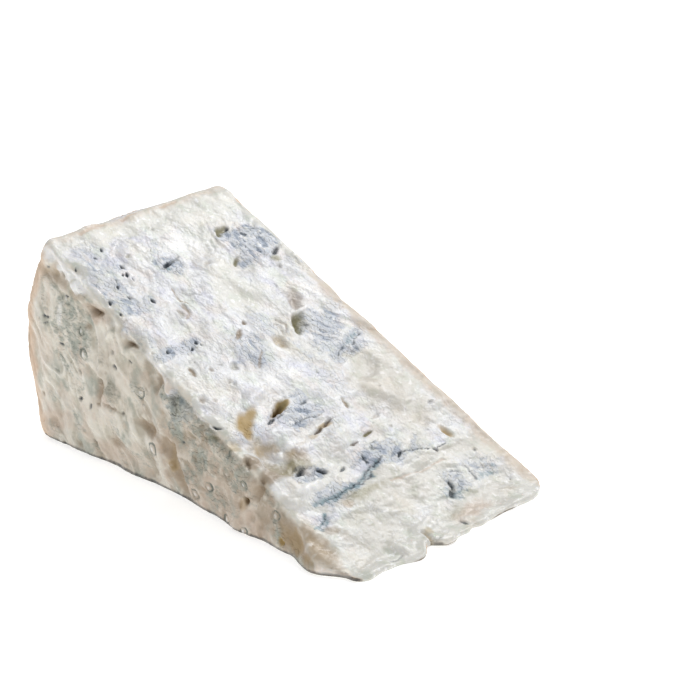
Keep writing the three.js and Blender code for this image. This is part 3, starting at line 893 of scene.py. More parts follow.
    smears_of_the_side = ((44.5, -44.5, 7.5, 6, 1, 0.5), (14, -47, 15, 8, 1, 0.6))
    stains_and_painted_light = Stain.table({
        Tint.MOULD: (
            (128.5, 31, 10.5, 7.5, 1, 0.6), (132.5, 25, 6, 6, 0.95, 0.6), (122.5, 26, 5, 7, 0.75),
            (140, -27, 11, 9.5, 0.5), (127, -31, 11, 8, 0.68), (119, -31, 5.5, 6.5, 0.8),
            (119.5, -22.5, 3.4, 3.4, 0.6), (129.5, -5, 5, 6.5, 0.85, 0.4), (97.5, -29, 3.8, 12, 0.9, 0.5),
            (86.5, 26, 8, 8.5, 0.82, 0.5), (79, 20, 6, 6.5, 0.6), (91, 35, 4, 5, 0.5),
            (58.3, -11, 4.6, 10, 1, 0.6), (64.2, -5, 3, 4, 0.8), (34, 2.5, 6.4, 11.5, 0.78, 0.5),
            (30, 17, 2.2, 9, 0.5), (37.8, -25.5, 3.4, 8, 1, 0.6), (27.6, -24, 3.4, 13, 0.95, 0.5),
            (14.5, 32, 6.2, 8.5, 0.6, 0.4), (13, 16, 6.4, 7.5, 0.6, 0.5), (21, -36.5, 3.6, 6.5, 0.5, 0.4),
            (111, -13.5, 5, 4, 0.45), (88, -5.5, 12, 10, 0.68), (73.5, 26, 3.4, 10, 0.8, 0.4),
            (104, -35, 7, 3.5, 0.45), (62, -18, 2.4, 5, 0.5),
        ),
        Tint.TEAL: (
            (11.3, 29, 1.8, 7.5, 0.6), (9.5, 13, 4, 5.4, 0.6), (13, 32, 4.5, 6, 0.4),
            (128.3, -7, 1.1, 1.3, 1), (4.5, 5, 4, 8, 0.16), (18, -29, 5, 9, 0.22),
        ),
        Tint.OLIVE: (
            (118, 33, 1.5, 3.4, 0.6), (24, -15, 2.8, 12, 0.58), (128, 24, 4.5, 3.4, 0.25),
            (109, -35, 5, 3.4, 0.2), (4.5, 5, 4, 8, 0.38), (18, -25, 4, 9, 0.34),
            # The olive patches from 41 to 46 up the slope are partly olive and partly painted shade on the
            # slope of the slump.
            (64.5, -12.4, 1.5, 3, 0.45, 0.5), (42.6, -29, 3.6, 6.6, 0.6, 0.3),
            (45.6, -33.4, 3.2, 4, 0.4, 0.3), (42.2, -25, 2.4, 3, 0.55, 0.3), (41.5, -22, 3, 3.6, 0.4, 0.2),
            (43.5, -25, 5, 4.5, 0.28, 0.1),
        ),
        Tint.DARK: ((88.4, 20.8, 1.6, 0.9, 0.6), (41, -27.5, 1.4, 3.8, 0.55)),
        Tint.OCHRE: (
            (49.6, -13, 1.3, 2.6, 0.5), (48.5, -19.5, 1.2, 2.6, 0.35), (53, -32.5, 5, 5, 0.5, 0.2),
            (22, 40, 8, 4, 0.16), (15, -45, 11, 3.6, 0.3, 0.3), (57, -40.5, 3, 3, 0.5),
            (64.5, -12.4, 1.5, 3.2, 0.95, 0.5), (51.6, -6.4, 1.2, 4, 0.65, 0.4),
            (52, -31, 4.4, 5.4, 0.5, 0.2), (47, -25.5, 3, 4.6, 0.4, 0.2), (2, -8.5, 3, 2, 0.45),
            (1.5, 30, 2.2, 5, 0.25),
        ),
        Tint.CREAM: (
            (66.5, -37.5, 5, 3.5, 1), (22, 39, 9, 5, 1), (110, 9, 12, 10, 1), (122, 11, 8, 5, 0.7),
            (151, 20, 10, 28, 1, 0.5), (151, -16, 5, 34, 1, 0.5), (60, 27, 13, 14, 1, 0.5),
            (46, 28, 11, 12, 0.75), (19, 0, 10, 22, 0.95, 0.5), (3, 20, 8, 24, 1, 0.5),
            (8, -20, 12, 17, 0.95, 0.5), (24, 30, 4, 16, 0.9),
        ),
        # Brown patches: the faint wide ones over the thin half are painted shade; those on the slump are
        # partly brown and partly painted shade.
        Tint.BROWN: (
            (51.5, -31, 5.4, 6.4, 0.42, 0.3), (43, -30, 4.2, 7.5, 0.65, 0.3), (46, -34, 3.6, 4.4, 0.6, 0.3),
            (44.5, -23.5, 3.8, 5, 0.75, 0.3), (50, -39.5, 3.6, 3, 0.8, 0.3), (40.5, -26, 4.5, 6, 0.5, 0.2),
            (43, -37.5, 5, 7.5, 0.85, 0.2), (15, -44.5, 13, 4.8, 0.62, 0.4), (59, 26, 16, 15, 0.36),
            (44, 26, 10, 15, 0.34), (20, -4, 9, 20, 0.3), (4, 20, 7, 22, 0.3), (10, -22, 9, 14, 0.28),
            (25, 30, 4, 15, 0.32), (23.6, -20, 2.6, 12, 0.25), (17, -36, 2.8, 3.4, 0.6),
            (13, -33, 3, 2.4, 0.4), (114, -37, 5, 3, 0.4), (99, 25, 6, 5, 0.5),
        ),
        # The patch at 134 up the slope is painted light on the rounded edge by the level side, which lies in
        # shade.
        Tint.BRIGHT: (
            (49.5, -23, 1.8, 2.6, 0.7, 0.2), (36.5, -39, 3, 4, 0.7), (134, -42, 14, 5.5, 0.95, 0.5),
            (98, -41, 9, 5, 0.7, 0.4), (30.5, -32, 3.5, 5, 0.6), (85, 3.6, 2.4, 0.8, 0.9),
            (137, 6, 5, 9, 0.6), (101, 33, 6, 4, 0.5), (74, -8, 4, 14, 0.5),
        ),
        Tint.LEVEL: smears_of_the_side,
        Tint.WAX: smears_of_the_side,
        Tint.BLUSH: (
            (23, -23, 1.5, 2.4, 0.8), (107, -4, 4, 5, 0.4), (99, 37, 5, 4, 0.4), (2, 11, 3.4, 11, 0.75),
        ),
    })

    veins = Vein.table({
        Tint.MOULD: ((3.6, 1, 79.5, 37, 77.5, 31, 75, 25, 72, 19.5), (1.6, 0.7, 35, 20, 31, 14, 29.6, 2)),
        Tint.TEAL: (
            (2, 0.6, 79, 35, 77, 30, 75.5, 27),
            (2.6, 0.85, 31.4, -1, 29.5, -7, 28, -14, 26.8, -22, 27.6, -32),
            (1.2, 0.9, 23.2, -32.5, 21, -36, 19.8, -40), (1, 0.8, 21, -33, 18.5, -38),
        ),
        Tint.DARK: (
            (0.55, 0.7, 78.6, 36.5, 76, 31.5, 74.2, 26.5), (0.7, 0.6, 76, 26.5, 73.8, 22, 72, 20),
            (0.7, 0.75, 31.5, -4, 29.2, -9, 28, -15),
            (0.5, 0.7, 31.5, 8, 31, 13, 29, 17, 27, 21, 27.5, 27.5),
            (0.6, 0.8, 29.6, -5, 27.6, -10, 27.2, -13), (0.6, 0.7, 28, -15, 27, -22, 27.2, -29),
            (0.9, 0.85, 32.6, 2.4, 31, -3), (0.7, 0.9, 36.5, -3.6, 33.8, -4), (0.6, 0.6, 39, 4, 37, 1),
            (0.5, 0.5, 38, 1.5, 35.6, 3.5), (0.7, 0.7, 62.8, -3.5, 62, -6.5),
            (0.55, 0.6, 56, -4, 56.6, -9, 56, -13), (0.7, 0.7, 60.8, -14, 60.2, -19),
            (0.5, 0.7, 22.6, -33, 21, -36.5), (0.6, 0.7, 17.5, 25.5, 14, 25.2, 11.5, 24),
            (0.6, 0.6, 16.5, 21.5, 17.5, 19), (0.5, 0.5, 108.6, 23.6, 106.4, 23),
            (0.5, 0.6, 128.5, -29, 131, -27), (0.5, 0.6, -3, -9, -3.8, -14),
            (0.6, 0.5, -1.8, -24, -2.4, -30), (0.8, 0.5, 131.5, 1, 131, -4),
        ),
        Tint.BROWN: (
            (0.7, 0.8, 120.5, -11.6, 116, -12.2, 113.5, -10.6),
            (0.6, 0.7, 113.5, -14.2, 109, -14, 108, -16.5), (0.6, 0.6, 95, 12.5, 92, 13.2, 89, 11),
            (0.5, 0.5, 94, 10, 91, 10.4, 88.5, 9), (0.8, 0.7, 86, -3, 83, -6.5, 80.5, -8),
        ),
        Tint.BLUSH: (
            (0.7, 0.8, 22.4, 20, 22.6, 8, 23.6, -3), (1.4, 1, 154.3, 18, 154.3, 12),
            (1.4, 0.9, 154.6, 0, 154.6, -6), (1.4, 1, 154.4, -14, 153.4, -24),
        ),
    })

    def spread(self, p: Array, normal: Array) -> tuple[Array, ...]:
        """Flat coordinates of points on the sloping cut.

        Args:
            p, normal: as for any face.

        Returns:
            Up the slope, across it, the depth under it and the share that belongs to it.
        """
        facing = self.form.cut_normal
        slope = (self.form.thin_x - p[:, 0]) * facing[2] + p[:, 2] * facing[0]
        on = smooth(0.45, 0.85, np.maximum(normal @ facing, normal[:, 0]))
        return slope, p[:, 1], self.form.off_cut(p), on

    def scattered_pits(self) -> list[Hollow]:
        """Small pits strewn over the whole cut, the larger ones rarer.

        Returns:
            The pits, in the order in which they are drawn.
        """
        draw = np.random.default_rng(self.seed)
        kinds = (Tint.BROWN, Tint.MOULD, Tint.OLIVE, Tint.DARK)
        pits = []
        for _ in range(self.small_pits):
            u, w = (draw.uniform(*limits) for limits in self.pit_field)
            radius = lerp(*self.pit_radius, draw.random() ** 3)
            lean = draw.uniform(0.5, 3.5) * radius
            tint, tone = kinds[draw.integers(len(kinds))], draw.uniform(0.1, 0.4)
            pits.append(Hollow((u, w), (u - 0.25 * lean, w - lean), 2 * radius, radius, tint, tone))
        return pits

    def marks(self) -> list[Mark]:
        """The hollows, the veins and the pits.

        Returns:
            All of them, in the order in which they are laid.
        """
        pits = [Hollow((u + 0.4 * r, w + 0.9 * r * math.sin(k)), (u - 1.3 * r, w - 0.5 * r),
                       1.6 * r, 1.1 * r, Tint.DARK, 0.95) for k, (u, w, r) in enumerate(self.mould_pits)]
        return [*self.hollows, *self.veins, *pits, *self.scattered_pits()]

    def texture(self, place: Place, p: Array, skin: Skin) -> None:
        """Calm and creamy here, folded and creased there, crumbly in the mould.

        Args:
            place: where the points lie on the face.
            p: the points of the skin.
            skin: the skin to change.
        """
        u, w, off, on = place.u, place.w, place.off, place.on
        q = np.stack([u, w, off], 1)
        mould = skin.paint[Tint.MOULD]
        rim = smooth(60.0, 115.0, u)
        drawn = np.stack([1.0 - 0.42 * rim, 0.45 + 0.55 * rim, np.ones_like(rim)], 1)
        stirred = Grain.stirred(q, 9.0, 1.8, 130) * drawn
        again = Grain.stirred(stirred, 3.4, 0.8, 133)
        calm = np.maximum(skin.paint[Tint.CREAM], 0.6 * Grain.cloud(-0.1, 0.5, q, 13.0, 113)) * (1 - mould)
        thin_part = 1 - smooth(18.0, 60.0, u)
        lively = 1 - (0.66 - 0.34 * thin_part) * calm
        folds = 0.5 * Grain.folds(stirred, 6.2, 111) + 0.38 * Grain.folds(again, 3.1, 112)
        small = lively * (folds + 0.15 * Grain.folds(again, 1.7, 114)) + 0.05 * Grain.swirl(q, 1.3, 118)
        level_edge = w - self.form.side_y(self.form.level_side, p[:, 0])
        waves = 3.0 * Grain.swirl(q, 9.0, 127) + 1.2 * Grain.swirl(q, 4.0, 126)
        mould *= smooth(0.0, 5.0, level_edge + waves)
        strokes = Grain.swirl(again * 0.8, 1.9, 141) + 0.5 * Grain.swirl(again * 0.8, 0.95, 142)
        strokes = smooth(-0.12, 0.5, strokes + 0.35 * Grain.swirl(q, 6.0, 143))
        skin.dab(Tint.STREAK, mould * strokes * on)
        near, name = Grain.curds(Grain.stirred(q * drawn, 3.0, 0.6, 136), 2.0, 125)
        crumbs = smooth(0.6, 0.15, near) * smooth(0.5, 0.8, name)
        crumbs *= np.maximum((0.4 + 0.6 * mould) * (1 - 0.3 * calm), 0.7 * thin_part)
        small += 0.3 * crumbs - 0.2 * mould * strokes
        skin.dab(Tint.BRIGHT, 0.6 * crumbs * on)
        rounded = np.exp(-(((level_edge - 1.5) / 4.5) ** 2)) * smooth(4.0, 12.0, u)
        rolls = 1.1 * Grain.swirl(q, 8.0, 128) + 0.5 * Grain.swirl(q, 4.0, 129)
        skin.height += rounded * rolls * on
        skin.dab(Tint.CREAM, (1 - smooth(0.5, 4.5, level_edge - 1.5 - waves)) * on)
        skin.dab(Tint.LEVEL, 0.75 * (1 - smooth(-0.5, 1.8, level_edge - 0.8 - waves)) * on)
        skin.dab(Tint.RIND, 0.3 * (1 - smooth(0.0, 2.5, level_edge - 1.0 - waves)) * on)
        strand = np.abs(Grain.swirl(again * np.array([1.0, 0.4, 1.0]), 2.9, 116))
        tears = (1 - smooth(0.0, 0.1, strand)) * Grain.cloud(0.1, 0.45, q, 7.0, 117)
        small -= 0.32 * lively * tears
        broad = 0.34 * Grain.swell(p, 17.0, 1) + 0.14 * Grain.swell(p, 8.5, 2)
        skin.height += (broad + small) * on
        crest = smooth(-0.34, 0.16, small + 0.1 * Grain.swirl(q, 5.0, 119))
        skin.dab(Tint.CREST_AND_PAINTED_SHADE, lerp(crest, 0.75, 0.6 * calm) * on)
        skin.dab(Tint.DARK, 0.5 * tears * lively * smooth(0.2, 0.8, mould) * on)
        edge = self.form.off_flat(p)
        ragged = 0.7 * Grain.swirl(q, 4.0, 120)
        skin.dab(Tint.RIND, (1 - smooth(0.3, self.lip_of_rind, edge + ragged)) * on)
        skin.dab(Tint.CREAM, (1 - smooth(2.0, 6.5, edge + 2 * ragged)) * on)
        skin.dab(Tint.RIND, 0.4 * smooth(0.0, 5.0, u - self.rim_strip + 2.5 * ragged) * on)
        skin.dab(Tint.CREAM, 0.6 * Grain.cloud(-0.1, 0.6, q, 26.0, 121) * on)
        strip = (1 - smooth(3.0, 10.0, edge + 2 * ragged)) * (1 - smooth(100.0, 125.0, u)) * on
        skin.dab(Tint.RIND, 0.45 * strip)
        skin.dab(Tint.BROWN, 0.3 * strip)
        feather = (1 - smooth(1.0, 6.0, u + ragged)) * on
        skin.dab(Tint.CREAM, feather)
        skin.dab(Tint.BROWN, 0.15 * feather)
        # Painted contact shadow: dark patches along the foot of the thin edge.
        contact_shadow_arcs = feather * (1 - smooth(0.4, 1.2, p[:, 2])) * Grain.cloud(-0.2, 0.2, q, 14.0, 146)
        skin.dab(Tint.UMBER, 0.8 * contact_shadow_arcs)
        skin.dab(Tint.CREAM, (0.35 + 0.45 * thin_part) * Grain.cloud(-0.5, 0.4, q, 9.0, 122) * on)
        haze = Grain.cloud(0.05, 0.6, stirred, 11.0, 123) * smooth(30.0, 60.0, u)
        skin.dab(Tint.MOULD, 0.58 * haze * (1 - 0.8 * calm) * on)


class LevelFace(CheeseFace):
    """The level cut that halved the wheel, as [along X, up], with its needle mouths."""

    seed = 200
    chalky_middle = (1.0, 31.5)
    chalky_radii = (9.0, 7.5)
    high_spill = -53.0
    # Where the white of the cut spills over the edge more or less: along, how far, reach.
    spills = ((35.0, -9.0, 5.0), (high_spill, 4.5, 8.0), (-39.0, -6.0, 4.5))

    # The brown tints of the scoops, dents and hollows under the edge are painted shade as well as a warm
    # colour.
    hollows = Hollow.table({
        "pit under the edge": (-42.5, 51.6, -35.5, 52.4, 2.4, 3.2, Tint.UMBER, 0.8, 1, 0, (0.4, -1)),
        "lip under the pit": (-41, 49.6, -34.6, 51.6, 1.7, -0.8, Tint.CREAM, 0.9, 1),
        "warm dish round it": (-44, 52, -33.5, 52, 7, 1.8, Tint.BROWN, 0.8, 1),
        "hollow under the edge": (-26, 45, -17, 47, 5, 3.4, Tint.BROWN, 1, 1, 0, (0.1, 1)),
        "its deep end": (-24, 46.4, -17.5, 47.2, 2.6, 1.4, Tint.UMBER, 0.7, 1),
        "scoop by the rind": (-63, 59, -53, 60, 6.4, 1.4, Tint.BROWN, 0.6, 1),
        "pale band": (-57, 19, -53.5, 2, 3.6, -0.8, Tint.CREAM, 0.95, 1),
        "upright ridge": (-36.4, 40, -36.6, 28, 2.4, -0.9, Tint.CREAM, 0.9, 1),
        "ridge from the pit": (-35, 43, -30, 49, 3.4, -1, Tint.CREAM, 1, 1),
        "low pale ridge": (-54, 11, -42, 7, 2.2, -0.7, Tint.CREAM, 0.8, 1),
        "end of that ridge": (-42, 7, -36, 2.5, 2.2, -0.7, Tint.CREAM, 0.8, 1),
        "upright dent": (-38.3, 31, -38.2, 22, 5.6, 2.8, Tint.BROWN, 1, 1, 0, (1, -0.3)),
        "crease": (-38, 22, -25.5, 21.3, 1.6, 1.3, Tint.BROWN, 1, 0.9, 0.25, (0, -1)),
        "end of the crease": (-26.4, 21, -24.6, 22, 1.1, 0.9, Tint.DARK, 0.7),
        "rounded bulge": (-32, 29, -30.5, 25, 9, -1.5, Tint.MOULD, 0.8, 1),
        "stain by the rind": (-67.5, 15.9, -66, 15.7, 3, 0.7, Tint.BROWN, 0.95, 0.9),
        "blister by the rind": (-66.4, 4.8, -65.6, 4.4, 4.6, -0.7, Tint.BLUSH, 0.9, 0.9),
        "slit": (-49, 18.8, -46.3, 20.4, 1.3, 1, Tint.DARK, 0.9),
        "second slit": (-42.6, 18.2, -41.2, 19.8, 1.2, 0.9, Tint.DARK, 0.75),
        "third slit": (-39, 20.2, -37.4, 21, 1.2, 0.7, Tint.BROWN, 1),
        "low crease": (-43, 7, -39.4, 4.8, 1.3, 0.7, Tint.UMBER, 0.5),
        "low blotch": (-35, 10, -27, 9, 6.5, 0.9, Tint.BROWN, 0.95, 1),
        "long valley": (-20.5, 21.5, -7.5, 20, 5.4, 1.6, Tint.BROWN, 0.95, 1),
        "end of the valley": (-8.5, 19.8, 0, 13, 6.2, 1.6, Tint.BROWN, 1, 1),
        "foot of the valley": (-1.5, 13.5, 2.5, 4, 6.5, 1.3, Tint.BROWN, 1, 1),
        "pale ridge below it": (-8.4, 18.5, -6.4, 2, 3.4, -0.9, Tint.CREAM, 1, 1),
        "orange-brown run": (-3.6, 18, -0.5, 9, 4.6, 0.8, Tint.OCHRE, 0.36, 1),
        "olive dent": (4, 24.6, 9.6, 23.4, 2.6, 1.3, Tint.OLIVE, 0.7, 0.9, 0.3, (0.4, 1)),
        "second olive dent": (12, 25.6, 20, 26.8, 2.6, 1.3, Tint.OLIVE, 0.6, 0.9, 0.3, (0, 1)),
        "brown dent": (30, 21.2, 33.6, 24.8, 3, 2, Tint.UMBER, 0.5, 0.8, 0.3, (0.8, -0.6)),
        "soft dent": (35.4, 13, 39.4, 20.5, 6, 1.5, Tint.BROWN, 1, 1),
        "ochre hole": (48, 4.6, 49.2, 2.4, 2.7, 1.5, Tint.OCHRE, 1),
        "dark side of the ochre hole": (49.8, 4, 49.4, 2.6, 1.1, 0.8, Tint.UMBER, 0.8),
        "front scoop": (46, 9.5, 66, 5.5, 10, 1.8, Tint.BROWN, 1, 1),
        "red-brown dent": (31, 11.5, 33, 11, 2.4, 0.9, Tint.UMBER, 0.85, 0.9),
        "crescent": (-56.5, 61.6, -53.8, 59.8, 1.2, 0.9, Tint.UMBER, 0.7, 0.6, 0.5, (1, 0)),
        "dent at the edge": (-8, 40.5, -9.5, 33.5, 3.4, 1.4, Tint.BROWN, 0.8, 1),
        "edge lobe": (18, 31, 22, 29.5, 7, -1.2, None, 0.9, 1),
        "second edge lobe": (42.5, 18, 47, 14, 4.6, -1.2, Tint.CREAM, 1, 1),
        "brown run over the edge": (35.5, 23, 38, 17, 6, 1, Tint.BROWN, 1, 1),
        "third edge lobe": (50, 16, 60, 12.5, 4.6, -1.1, Tint.CREAM, 1, 1),
        "fold between the lobes": (41, 17.5, 50, 18.5, 2.2, 0.9, Tint.BROWN, 0.5, 1),
    })

    # Dark spots: along, up, radius, tone.
    spots = (
        (-62.4, 44.4, 1.4, 0.85), (-62.5, 42.2, 1, 0.75), (-65.5, 43, 0.8, 0.6), (-55.5, 36.6, 1.2, 0.85),
        (-28.7, 36.8, 1.3, 0.7), (-30.3, 41, 1, 0.5), (-21.5, 40.3, 1, 0.85), (2.2, 20.4, 1, 0.8),
        (-61, 61.5, 0.9, 0.8), (-53, 53.4, 1, 0.8), (-58, 26.7, 1, 0.4), (-47, 29.6, 1.3, 0.45),
        (-62.4, 47, 1, 0.35), (26.6, 24.6, 1, 0.85), (36.4, 11, 0.8, 0.35), (12, 18, 1, 0.35),
        (-15.8, 27.4, 0.9, 0.5), (23.8, 19.4, 0.8, 0.5),
    )

    # Warm spots, in the same way.
    warm_spots = (
        (-33.7, 33.5, 1.2, 0.8), (-2.6, 11.5, 1.7, 1), (32.2, 11.3, 1.6, 1), (29.7, 9.4, 1.6, 0.9),
        (35.4, 6.8, 2, 0.7), (7.5, 16.5, 2, 0.6), (-16, 28.5, 1.4, 0.7), (2, 4.5, 2.6, 0.8),
        (8.3, 14, 1.3, 0.6), (13, 7.6, 2, 0.6), (39.5, 5, 1.8, 0.6), (17.4, 16, 1.4, 0.5),
        (-46.8, 30.2, 2.2, 0.7), (-43, 46, 1.8, 0.7), (-61.5, 7, 3.4, 0.5), (-49, 3, 2.2, 0.6),
    )

    mouths = NeedleMouth.table(
        (-53.4, 52.6, 2, 2, 0.7), (-46, 43.5, 1.5, 1.5, 0.95), (-44.4, 36.3, 2.1, 2.1, 1),
        (-17, 31.2, 1.9, 2.1, 0.9), (-11.8, 13.8, 2.1, 2.3, 1), (14.6, 9.7, 1.9, 1.7, 1),
        (7.2, 4.4, 1.8, 1.8, 0.95), (23.6, 2.3, 2, 1.5, 0.95), (32.5, 1.7, 1.6, 1.3, 1),
        (25, 23.8, 1.7, 1.5, 0.9), (31, 16, 1.5, 1.5, 0.95), (44.4, 10.4, 2, 1.7, 0.85),
        (1, 14, 1.4, 1.4, 0.6), (22.8, 16.5, 2.2, 1.8, 0.65), (16.6, 14.6, 1.5, 1.5, 0.45),
        (-30.4, 40.2, 1.7, 2, 0.4), (-2.9, 11.4, 1.6, 1.5, 0.5),
    )

    stains_and_painted_light = Stain.table({
        Tint.MOULD: (
            (0.5, 32, 8, 6.5, 1, 0.5), (-1, 24, 3, 6, 0.7, 0.4), (8, 20.5, 8, 4.5, 0.6, 0.3),
            (9, 29, 7, 4, 0.7, 0.4), (0.5, 22, 4, 5, 0.6), (15, 21.5, 8, 4.5, 0.45), (-50, 44, 12, 15, 0.6),
            (-46, 38, 5, 5.5, 0.5), (-17, 31, 4.5, 5, 0.6), (-49, 23, 6, 5, 0.45), (-17.5, 8, 6, 6, 0.4),
            (26, 7, 6, 4.5, 0.4), (28, 27, 5, 2, 0.5), (11.5, 17.5, 9, 6, 0.68), (19.5, 6.5, 7.5, 5, 0.6),
            (6, 10, 6, 5, 0.6), (25.3, 16, 6, 5, 0.62),
        ),
        Tint.DARK: ((-1.5, 33, 3.2, 4, 0.5, 0.2),),
        Tint.OLIVE: ((-1, 32, 5, 6, 0.4, 0.2), (-50.5, 58, 3, 4.5, 0.3), (-64, 38.5, 4, 3, 0.2)),
        # The brown patches at the high corner and in front, 57 along, are painted shade as well as a warm
        # colour.
        Tint.BROWN: (
            (-59, 59, 10, 5, 0.65), (-47, 55.5, 5, 3.5, 0.65), (-14, 41.5, 2.5, 5, 0.5),
            (57, 8, 13, 6.5, 1, 0.5), (42, 5.5, 9, 4, 0.55), (-6, 19, 9, 4, 0.5), (-33, 32, 9, 13, 0.4),
            (16, 13, 17, 9, 0.3),
        ),
        Tint.OCHRE: (
            (-60, 60.5, 7, 4, 0.24), (56, 7, 11, 5, 0.42), (-2.6, 11.4, 2.4, 2.6, 0.5),
            (30.6, 9.8, 2, 2.4, 0.4), (23, 28.6, 1.8, 1.6, 0.7), (33.6, 25.2, 1.8, 1.2, 0.5),
        ),
        Tint.UMBER: ((-2.6, 11.4, 1.8, 2, 0.3),),
        Tint.BLUSH: (
            (-38, 51.5, 7, 4.5, 0.9), (-63, 8, 9, 8, 0.8), (-30, 5, 16, 6, 0.7), (20, 8, 26, 12, 0.5),
            (-22, 36, 6, 6, 0.4), (-66, 33, 6, 14, 0.5), (30, 9.5, 2.2, 2.6, 0.9),
        ),
        Tint.CREAM: (
            (-33, 43.5, 6, 6, 0.6), (-37, 36, 3, 6, 0.5), (-55.5, 11, 3.4, 10, 0.95), (-61, 24, 7, 9, 0.5),
            (-8.5, 6, 2.6, 9, 0.9, 0.5), (-46, 11, 12, 7, 0.6),
        ),
        # The patches from 61 to 46 along at the top corner are painted light on the rounded edge there, which
        # lies in shade.
        Tint.BRIGHT: (
            (-25, 51.5, 9, 2.4, 0.6), (-61, 66.5, 5, 3, 0.8, 0.5), (-52.5, 62.5, 5, 3.2, 0.95, 0.5),
            (-46, 59, 4.5, 3, 0.9, 0.5), (-55.5, 47, 1.4, 5, 0.45),
        ),
    })

    def spread(self, p: Array, normal: Array) -> tuple[Array, ...]:
        """Along X, up, the distance off the level cut and the share that belongs to it."""
        return p[:, 0], p[:, 2], self.form.off_level(p), smooth(0.45, 0.85, -normal[:, 1])

    def marks(self) -> list[Mark]:
        """The hollows, the spots and the needle mouths.

        Returns:
            All of them, in the order in which they are laid.
        """
        dark = [Hollow((u - 0.8 * r, w - 0.4 * r * math.sin(k)), (u + 0.8 * r, w + 0.4 * r * math.sin(k)),
                       1.1 * r, 0.5 * r, Tint.DARK, tone) for k, (u, w, r, tone) in enumerate(self.spots)]
        warm = [Hollow((u - r / 3, w), (u + r / 3, w), 1.8 * r, 0.3 * r, Tint.BROWN, tone, 1.0)
                for u, w, r, tone in self.warm_spots]
        return [*self.hollows, *dark, *warm, *self.mouths]

    def texture(self, place: Place, p: Array, skin: Skin) -> None:
        """A waxy, flowing surface, darker towards the thin edge, with a peach rind line, painted shade under
        the edge and a painted contact shadow along the foot.

        Args:
            place: where the points lie on the face.
            p: the points of the skin.
            skin: the skin to change.
        """
        u, w, off, on = place.u, place.w, place.off, place.on
        q = np.stack([u, w, off], 1)
        thick = self.stoutness(p)
        lean = np.stack([u + 0.7 * w, 0.8 * w - 0.35 * u, off], 1)
        ragged = Grain.swirl(q, 7.0, 216)
        front = smooth(-26.0, -2.0, u + 5.0 * ragged)
        drawn = np.stack([0.95 - 0.27 * front, 0.42 + 0.2 * front, np.ones_like(front)], 1)
        flowing = Grain.stirred(lean, 12.0, 3.4, 230) * drawn
        soft = 0.75 * Grain.folds(flowing, 9.0, 211) + 0.4 * Grain.folds(flowing, 4.2, 212)
        soft += 0.12 * Grain.folds(flowing, 2.2, 213) + 0.08 * Grain.swirl(q, 1.7, 214)
        near, name = Grain.curds(q, 6.0, 215)
        dimples = 0.35 * smooth(0.5, 0.1, near) * smooth(0.5, 0.7, name)
        ribbons = np.maximum(1 - smooth(0.0, 0.2, np.abs(Grain.swirl(flowing, 8.0, 231))),
                             0.5 - 0.5 * smooth(0.0, 0.24, np.abs(Grain.swirl(flowing, 4.0, 232))))
        ribbons *= Grain.cloud(-0.5, 0.3, q, 11.0, 233)
        soft += 0.4 * ribbons
        broad = 0.4 * thick * Grain.swell(p, 21.0, 3)
        skin.height += (broad + (0.35 + 0.65 * thick) * (soft - dimples)) * on
        off_cut = self.form.off_cut(p)
        lobes = 8.0 * Grain.swirl(q, 11.0, 234) + 3.0 * ragged + 1.2 * Grain.swirl(q, 2.8, 217)
        for along, out, reach in self.spills:
            lobes += out * np.exp(-(((u - along) / reach) ** 2))
        spill = 1 - smooth(-1.2, 1.4, off_cut - 0.6 - lobes)
        skin.height += 0.9 * spill * thick * on
        at_edge = np.exp(-((off_cut / 6.0) ** 2))
        rolls = 0.9 * Grain.swirl(q, 9.0, 235) + 0.5 * Grain.swirl(q, 4.6, 236)
        skin.height += thick * at_edge * rolls * on
        (along, up), (long, tall) = self.chalky_middle, self.chalky_radii
        off_chalk = np.hypot((u - along) / long, (w - up) / tall)
        chalky = 1 - smooth(0.3, 1.2, off_chalk + 0.25 * ragged)
        skin.dab(Tint.LEVEL, smooth(0.0, 0.35, on) * (1 - spill) * (1 - 0.3 * chalky))
        skin.dab(Tint.CREST_AND_PAINTED_SHADE, smooth(-0.4, 0.35, soft) * on)
        skin.dab(Tint.RIND, 0.95 * (1 - smooth(2.0, 10.0, self.form.off_rind(p) + 1.6 * ragged)) * on)
        skin.dab(Tint.WAX, (0.12 + 0.88 * front) * (1 - 0.8 * spill) * (1 - 0.8 * chalky) * on)
        streaks = Grain.swirl(flowing * np.array([0.9, 1.3, 1.0]), 6.5, 218)
        skin.dab(Tint.MOULD, 0.5 * smooth(0.05, 0.6, streaks) * (1 - 0.2 * front) * (1 - spill) * on)
        skin.dab(Tint.CREAM, 0.9 * spill * on)
        skin.dab(Tint.RIND, 0.55 * spill * on)
        # Near the high corner the spill also carries painted light, since the rounded edge there lies in
        # shade.
        high = np.exp(-(((u - self.high_spill) / 9.0) ** 2))
        skin.dab(Tint.BRIGHT, (0.3 + 0.55 * high) * spill * on)
        # Painted shadow: brown under the edges of the spilled lobes.
        shadow_under_spill = smooth(-3.5, 0.0, lobes - off_cut + 0.6) * (1 - spill)
        skin.dab(Tint.BROWN, 0.55 * shadow_under_spill * at_edge * on)
